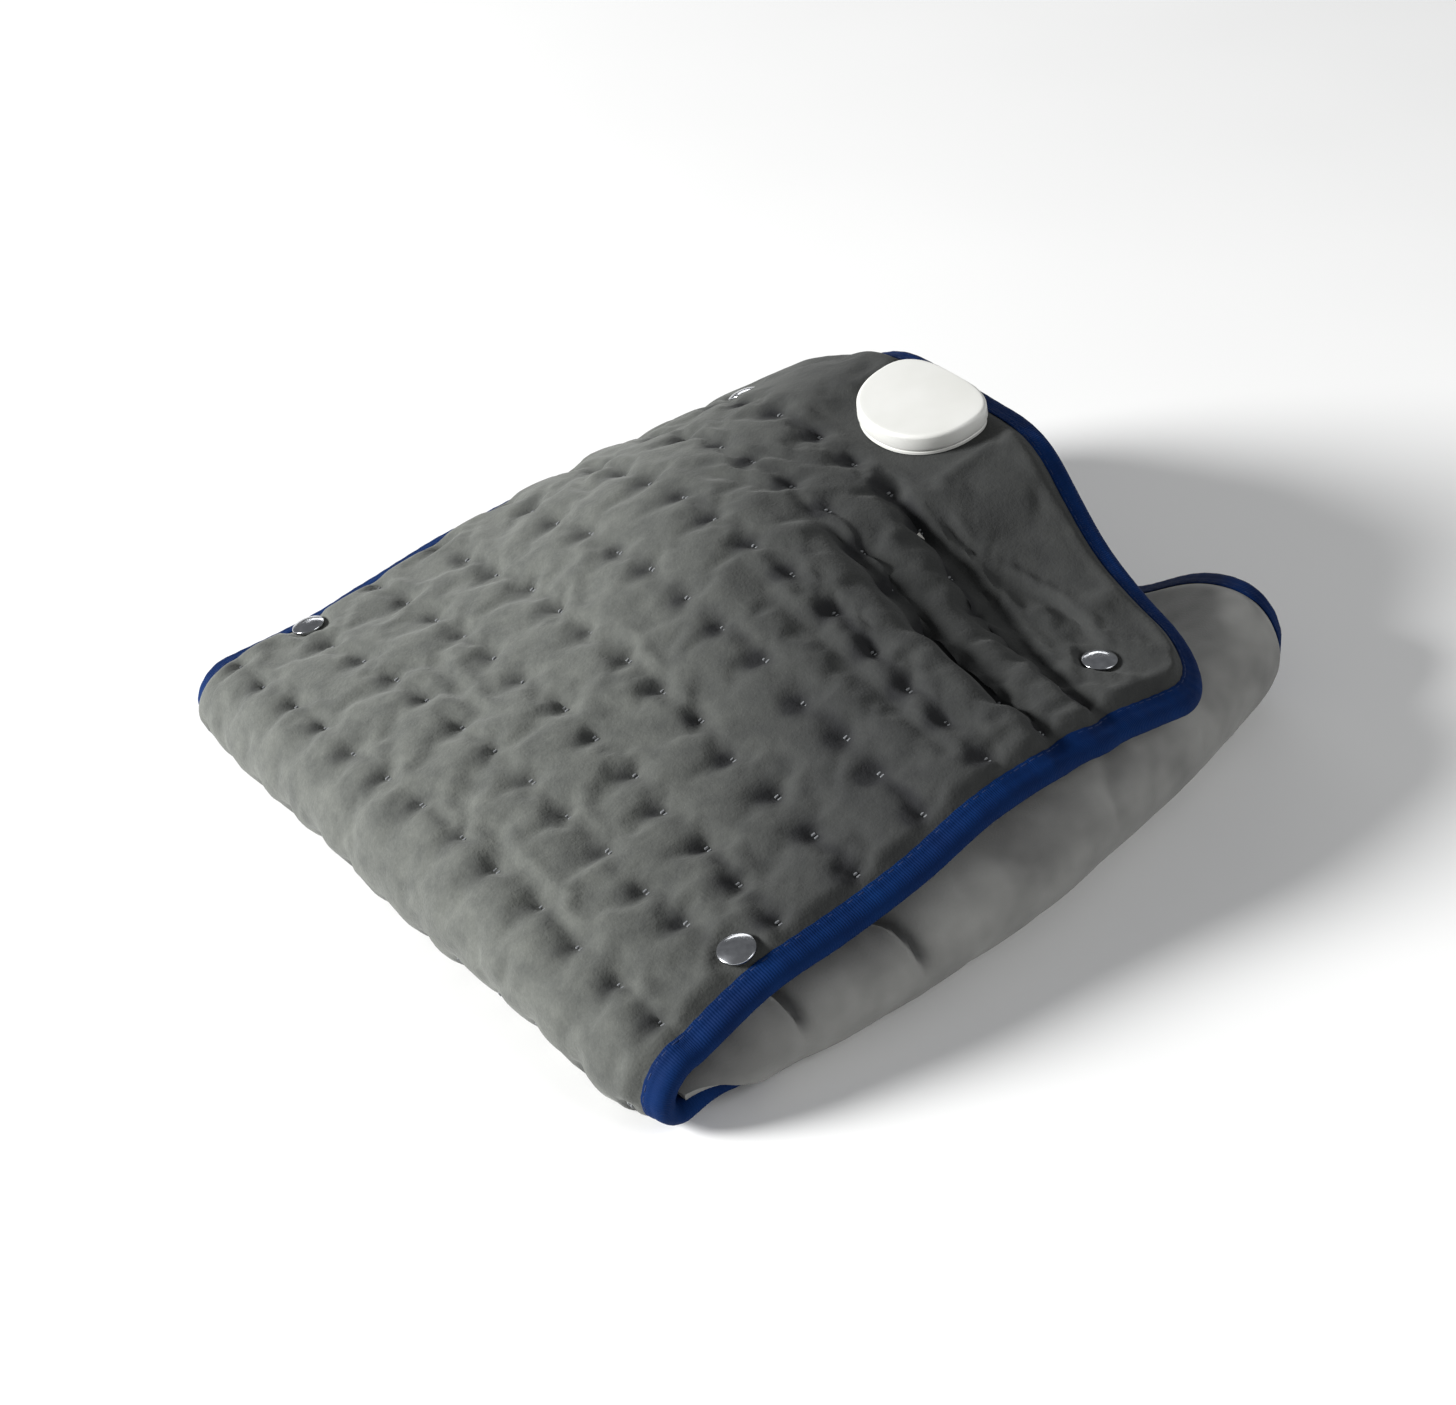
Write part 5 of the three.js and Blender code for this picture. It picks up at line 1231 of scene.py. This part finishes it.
def block(name, low, high, matrix):
    """Box between two corners, in millimetres."""
    grid = np.array([[[low[0], low[1]], [high[0], low[1]]], [[low[0], high[1]], [high[0], high[1]]]], float)
    lift = lambda z: np.concatenate([grid, np.full((2, 2, 1), z)], -1)
    piece = slab(name, lift(high[2]), lift(low[2]))
    piece.data.transform(matrix)
    return piece


class PAD_OT_connector(bpy.types.Operator):
    """Make the power inlet's housing and flange"""

    bl_idname = "heating_pad.connector"
    bl_label = "Power inlet"

    def execute(self, context):
        matrix = sheet_frame(CONNECTOR_ALONG, CONNECTOR_ACROSS, CONNECTOR_SEAT)
        white = material_of("white_plastic")
        shell = ringed("housing", egg_rings(crowned(HOUSING_LOW, HOUSING_HIGH, HOUSING_ROUND)), matrix)
        ceiling = HOUSING_HIGH - HOUSING_ROOF
        hollow = ringed("hollow", egg_rings([
            (HOUSING_WALL, HOLLOW_LOW, 0), (HOUSING_WALL, HOLLOW_LOW, 1),
            (HOUSING_WALL, ceiling, 1), (HOUSING_WALL, ceiling, 0)]), matrix)
        half = MOUTH_WIDTH / 2
        mouth = block("mouth", (MOUTH_BACK, -half, HOLLOW_LOW - 1), (PAST_FRONT, half, ceiling - MOUTH_ROOF),
                      matrix)
        notch = block("notch", (CONNECTOR_FRONT - NOTCH_DEPTH, -half - NOTCH_MARGIN, NOTCH_LOW),
                      (PAST_FRONT, half + NOTCH_MARGIN, NOTCH_HIGH), matrix)
        carved(shell, [hollow, mouth, notch])
        finish_piece(shell, white, "upper_half", ["connector_cap"])
        flange = ringed("flange", egg_rings(FLANGE), matrix)
        finish_piece(flange, white, "upper_half", ["connector_base"])
        return {"FINISHED"}


class PAD_OT_fold_wires(bpy.types.Operator):
    """Make the two wires that cross the fold"""

    bl_idname = "heating_pad.fold_wires"
    bl_label = "Fold wires"

    def execute(self, context):
        for side in ("near", "far"):
            node = frame["nodes"][f"fold_wire_{side}"]
            piece = bpy.data.objects.new(f"crossing_wire_{side}", node.data.copy())
            context.scene.collection.objects.link(piece)
            piece.data.transform(node.matrix_world)
            piece.data.materials.clear()
            welded(piece)
            finish_piece(piece, material_of("silicone_wire"), None, [f"fold_wire_{side}"])
        return {"FINISHED"}


class PAD_OT_inner_parts(bpy.types.Operator):
    """Give the carried-over solids inside the sheet and the power inlet their materials"""

    bl_idname = "heating_pad.inner_parts"
    bl_label = "Inner parts"

    def execute(self, context):
        slots = {s["node"]: s["material_slot"] for s in frame["record"]["subparts"]}
        for name, node in frame["nodes"].items():
            if not node.hide_render:
                node.data.materials.clear()
                node.data.materials.append(material_of(slots[name]))
        return {"FINISHED"}


# Stage.

# The camera: its place, its turn from +X, how far it looks down, its roll, and its lens.
CAMERA_PLACE = Vector((-0.43523, -0.62121, 0.52395))
CAMERA_TURN, CAMERA_DOWN, CAMERA_ROLL = (math.radians(a) for a in (53.66, 35.0, -3.83))
CAMERA_LENS, CAMERA_SENSOR, CLIP_START, CLIP_END = 59.34, 36.0, 0.01, 20

# Lights, in metres: place, width and height. All shine at one point of the pad.
LIGHTS = {
    "key": ((-2.3, 1.2, 1.15), 0.9, 0.9),
    "fill": ((0.9, -2.0, 1.5), 1.6, 1.6),
    "strip": ((1.5, 2.0, 0.85), 2.2, 0.35),
}
LIT_POINT = (0, -0.04, 0.04)
ROOM_COLOUR, ROOM_STRENGTH = "#EDEFF2", 0.22
FLOOR_HALF_SIZE, FLOOR_GAP = 4.0, 0.0003


def aimed(obj, target):
    """Turns a light so that it shines at a point."""
    obj.rotation_mode = "QUATERNION"
    obj.rotation_quaternion = (Vector(target) - obj.location).to_track_quat("-Z", "Y")


def add_camera(scene):
    """The camera: looks down from its turn, then rolls about its own line of sight."""
    ahead = Vector((math.cos(CAMERA_TURN) * math.cos(CAMERA_DOWN),
                    math.sin(CAMERA_TURN) * math.cos(CAMERA_DOWN), -math.sin(CAMERA_DOWN)))
    right = Vector((math.sin(CAMERA_TURN), -math.cos(CAMERA_TURN), 0))
    up = right.cross(ahead)
    across = math.cos(CAMERA_ROLL) * right + math.sin(CAMERA_ROLL) * up
    over = math.cos(CAMERA_ROLL) * up - math.sin(CAMERA_ROLL) * right
    camera = bpy.data.objects.new("camera", bpy.data.cameras.new("camera"))
    turn = Matrix((across, over, -ahead)).transposed().to_4x4()
    camera.matrix_world = Matrix.Translation(CAMERA_PLACE) @ turn
    camera.data.lens, camera.data.sensor_width = CAMERA_LENS, CAMERA_SENSOR
    camera.data.sensor_fit = "HORIZONTAL"
    camera.data.clip_start, camera.data.clip_end = CLIP_START, CLIP_END
    scene.collection.objects.link(camera)
    scene.camera = camera


def add_floor(scene):
    """A wide sheet of pale paper just under the pad."""
    low, high = -FLOOR_HALF_SIZE, FLOOR_HALF_SIZE
    floor = bpy.data.meshes.new("floor")
    floor.from_pydata([(low, low, 0), (high, low, 0), (high, high, 0), (low, high, 0)], [], [(0, 1, 2, 3)])
    floor = bpy.data.objects.new("floor", floor)
    floor.location.z = -FLOOR_GAP
    scene.collection.objects.link(floor)
    paper, tree, coordinates = new_material("studio_paper")
    tone = between(tree, noise(tree, coordinates["Object"], size_mm=300), "#F4F4F3", "#F7F7F6")
    floor.data.materials.append(shade(paper, tree, tone, Roughness=0.9))


def add_lights(scene):
    """The three soft lights, which the camera doesn't see, and the even light of the room."""
    for name, (where, width, height) in LIGHTS.items():
        lamp = bpy.data.objects.new(name, bpy.data.lights.new(name, "AREA"))
        lamp.data.shape, lamp.data.size, lamp.data.size_y = "ELLIPSE", width, height
        lamp.data.energy = getattr(scene.pad_light, name)
        lamp.visible_camera = False
        lamp.location = where
        aimed(lamp, LIT_POINT)
        scene.collection.objects.link(lamp)
    world = bpy.data.worlds.new("studio")
    world.use_nodes = True
    background = world.node_tree.nodes["Background"]
    background.inputs["Color"].default_value = linear(ROOM_COLOUR)
    background.inputs["Strength"].default_value = ROOM_STRENGTH
    scene.world = world


class PAD_OT_stage(bpy.types.Operator):
    """Make the floor, the soft studio light and the camera"""

    bl_idname = "heating_pad.stage"
    bl_label = "Stage"

    def execute(self, context):
        for add in (add_camera, add_floor, add_lights):
            add(context.scene)
        context.scene.view_settings.view_transform = "Standard"
        return {"FINISHED"}


class PAD_PT_panel(bpy.types.Panel):
    """Sizes, colours and the steps that build the pad"""

    bl_idname = "PAD_PT_panel"
    bl_label = "Heating pad"
    bl_space_type = "VIEW_3D"
    bl_region_type = "UI"
    bl_category = "Heating pad"

    def draw(self, context):
        scene = context.scene
        for group in (scene.pad_sizes, scene.pad_finish, scene.pad_light):
            for name in group.__annotations__:
                self.layout.prop(group, name)
        for operator in OPERATORS:
            self.layout.operator(operator.bl_idname)


OPERATORS = (PAD_OT_covers, PAD_OT_tape, PAD_OT_tufts, PAD_OT_snaps, PAD_OT_connector, PAD_OT_fold_wires,
             PAD_OT_inner_parts, PAD_OT_stage)
SETTINGS = {"pad_sizes": PadSizes, "pad_finish": PadFinish, "pad_light": PadLight}


def register():
    """Registers the settings, the steps and the panel."""
    for group in (*SETTINGS.values(), *OPERATORS, PAD_PT_panel):
        bpy.utils.register_class(group)
    for name, group in SETTINGS.items():
        setattr(bpy.types.Scene, name, bpy.props.PointerProperty(type=group))


def unregister():
    """Takes back what register did."""
    for name in SETTINGS:
        delattr(bpy.types.Scene, name)
    for group in (PAD_PT_panel, *reversed(OPERATORS), *SETTINGS.values()):
        bpy.utils.unregister_class(group)


def main():
    """Builds the pad step by step."""
    register()
    for operator in OPERATORS:
        module, name = operator.bl_idname.split(".")
        getattr(getattr(bpy.ops, module), name)()


if __name__ == "__main__":
    main()
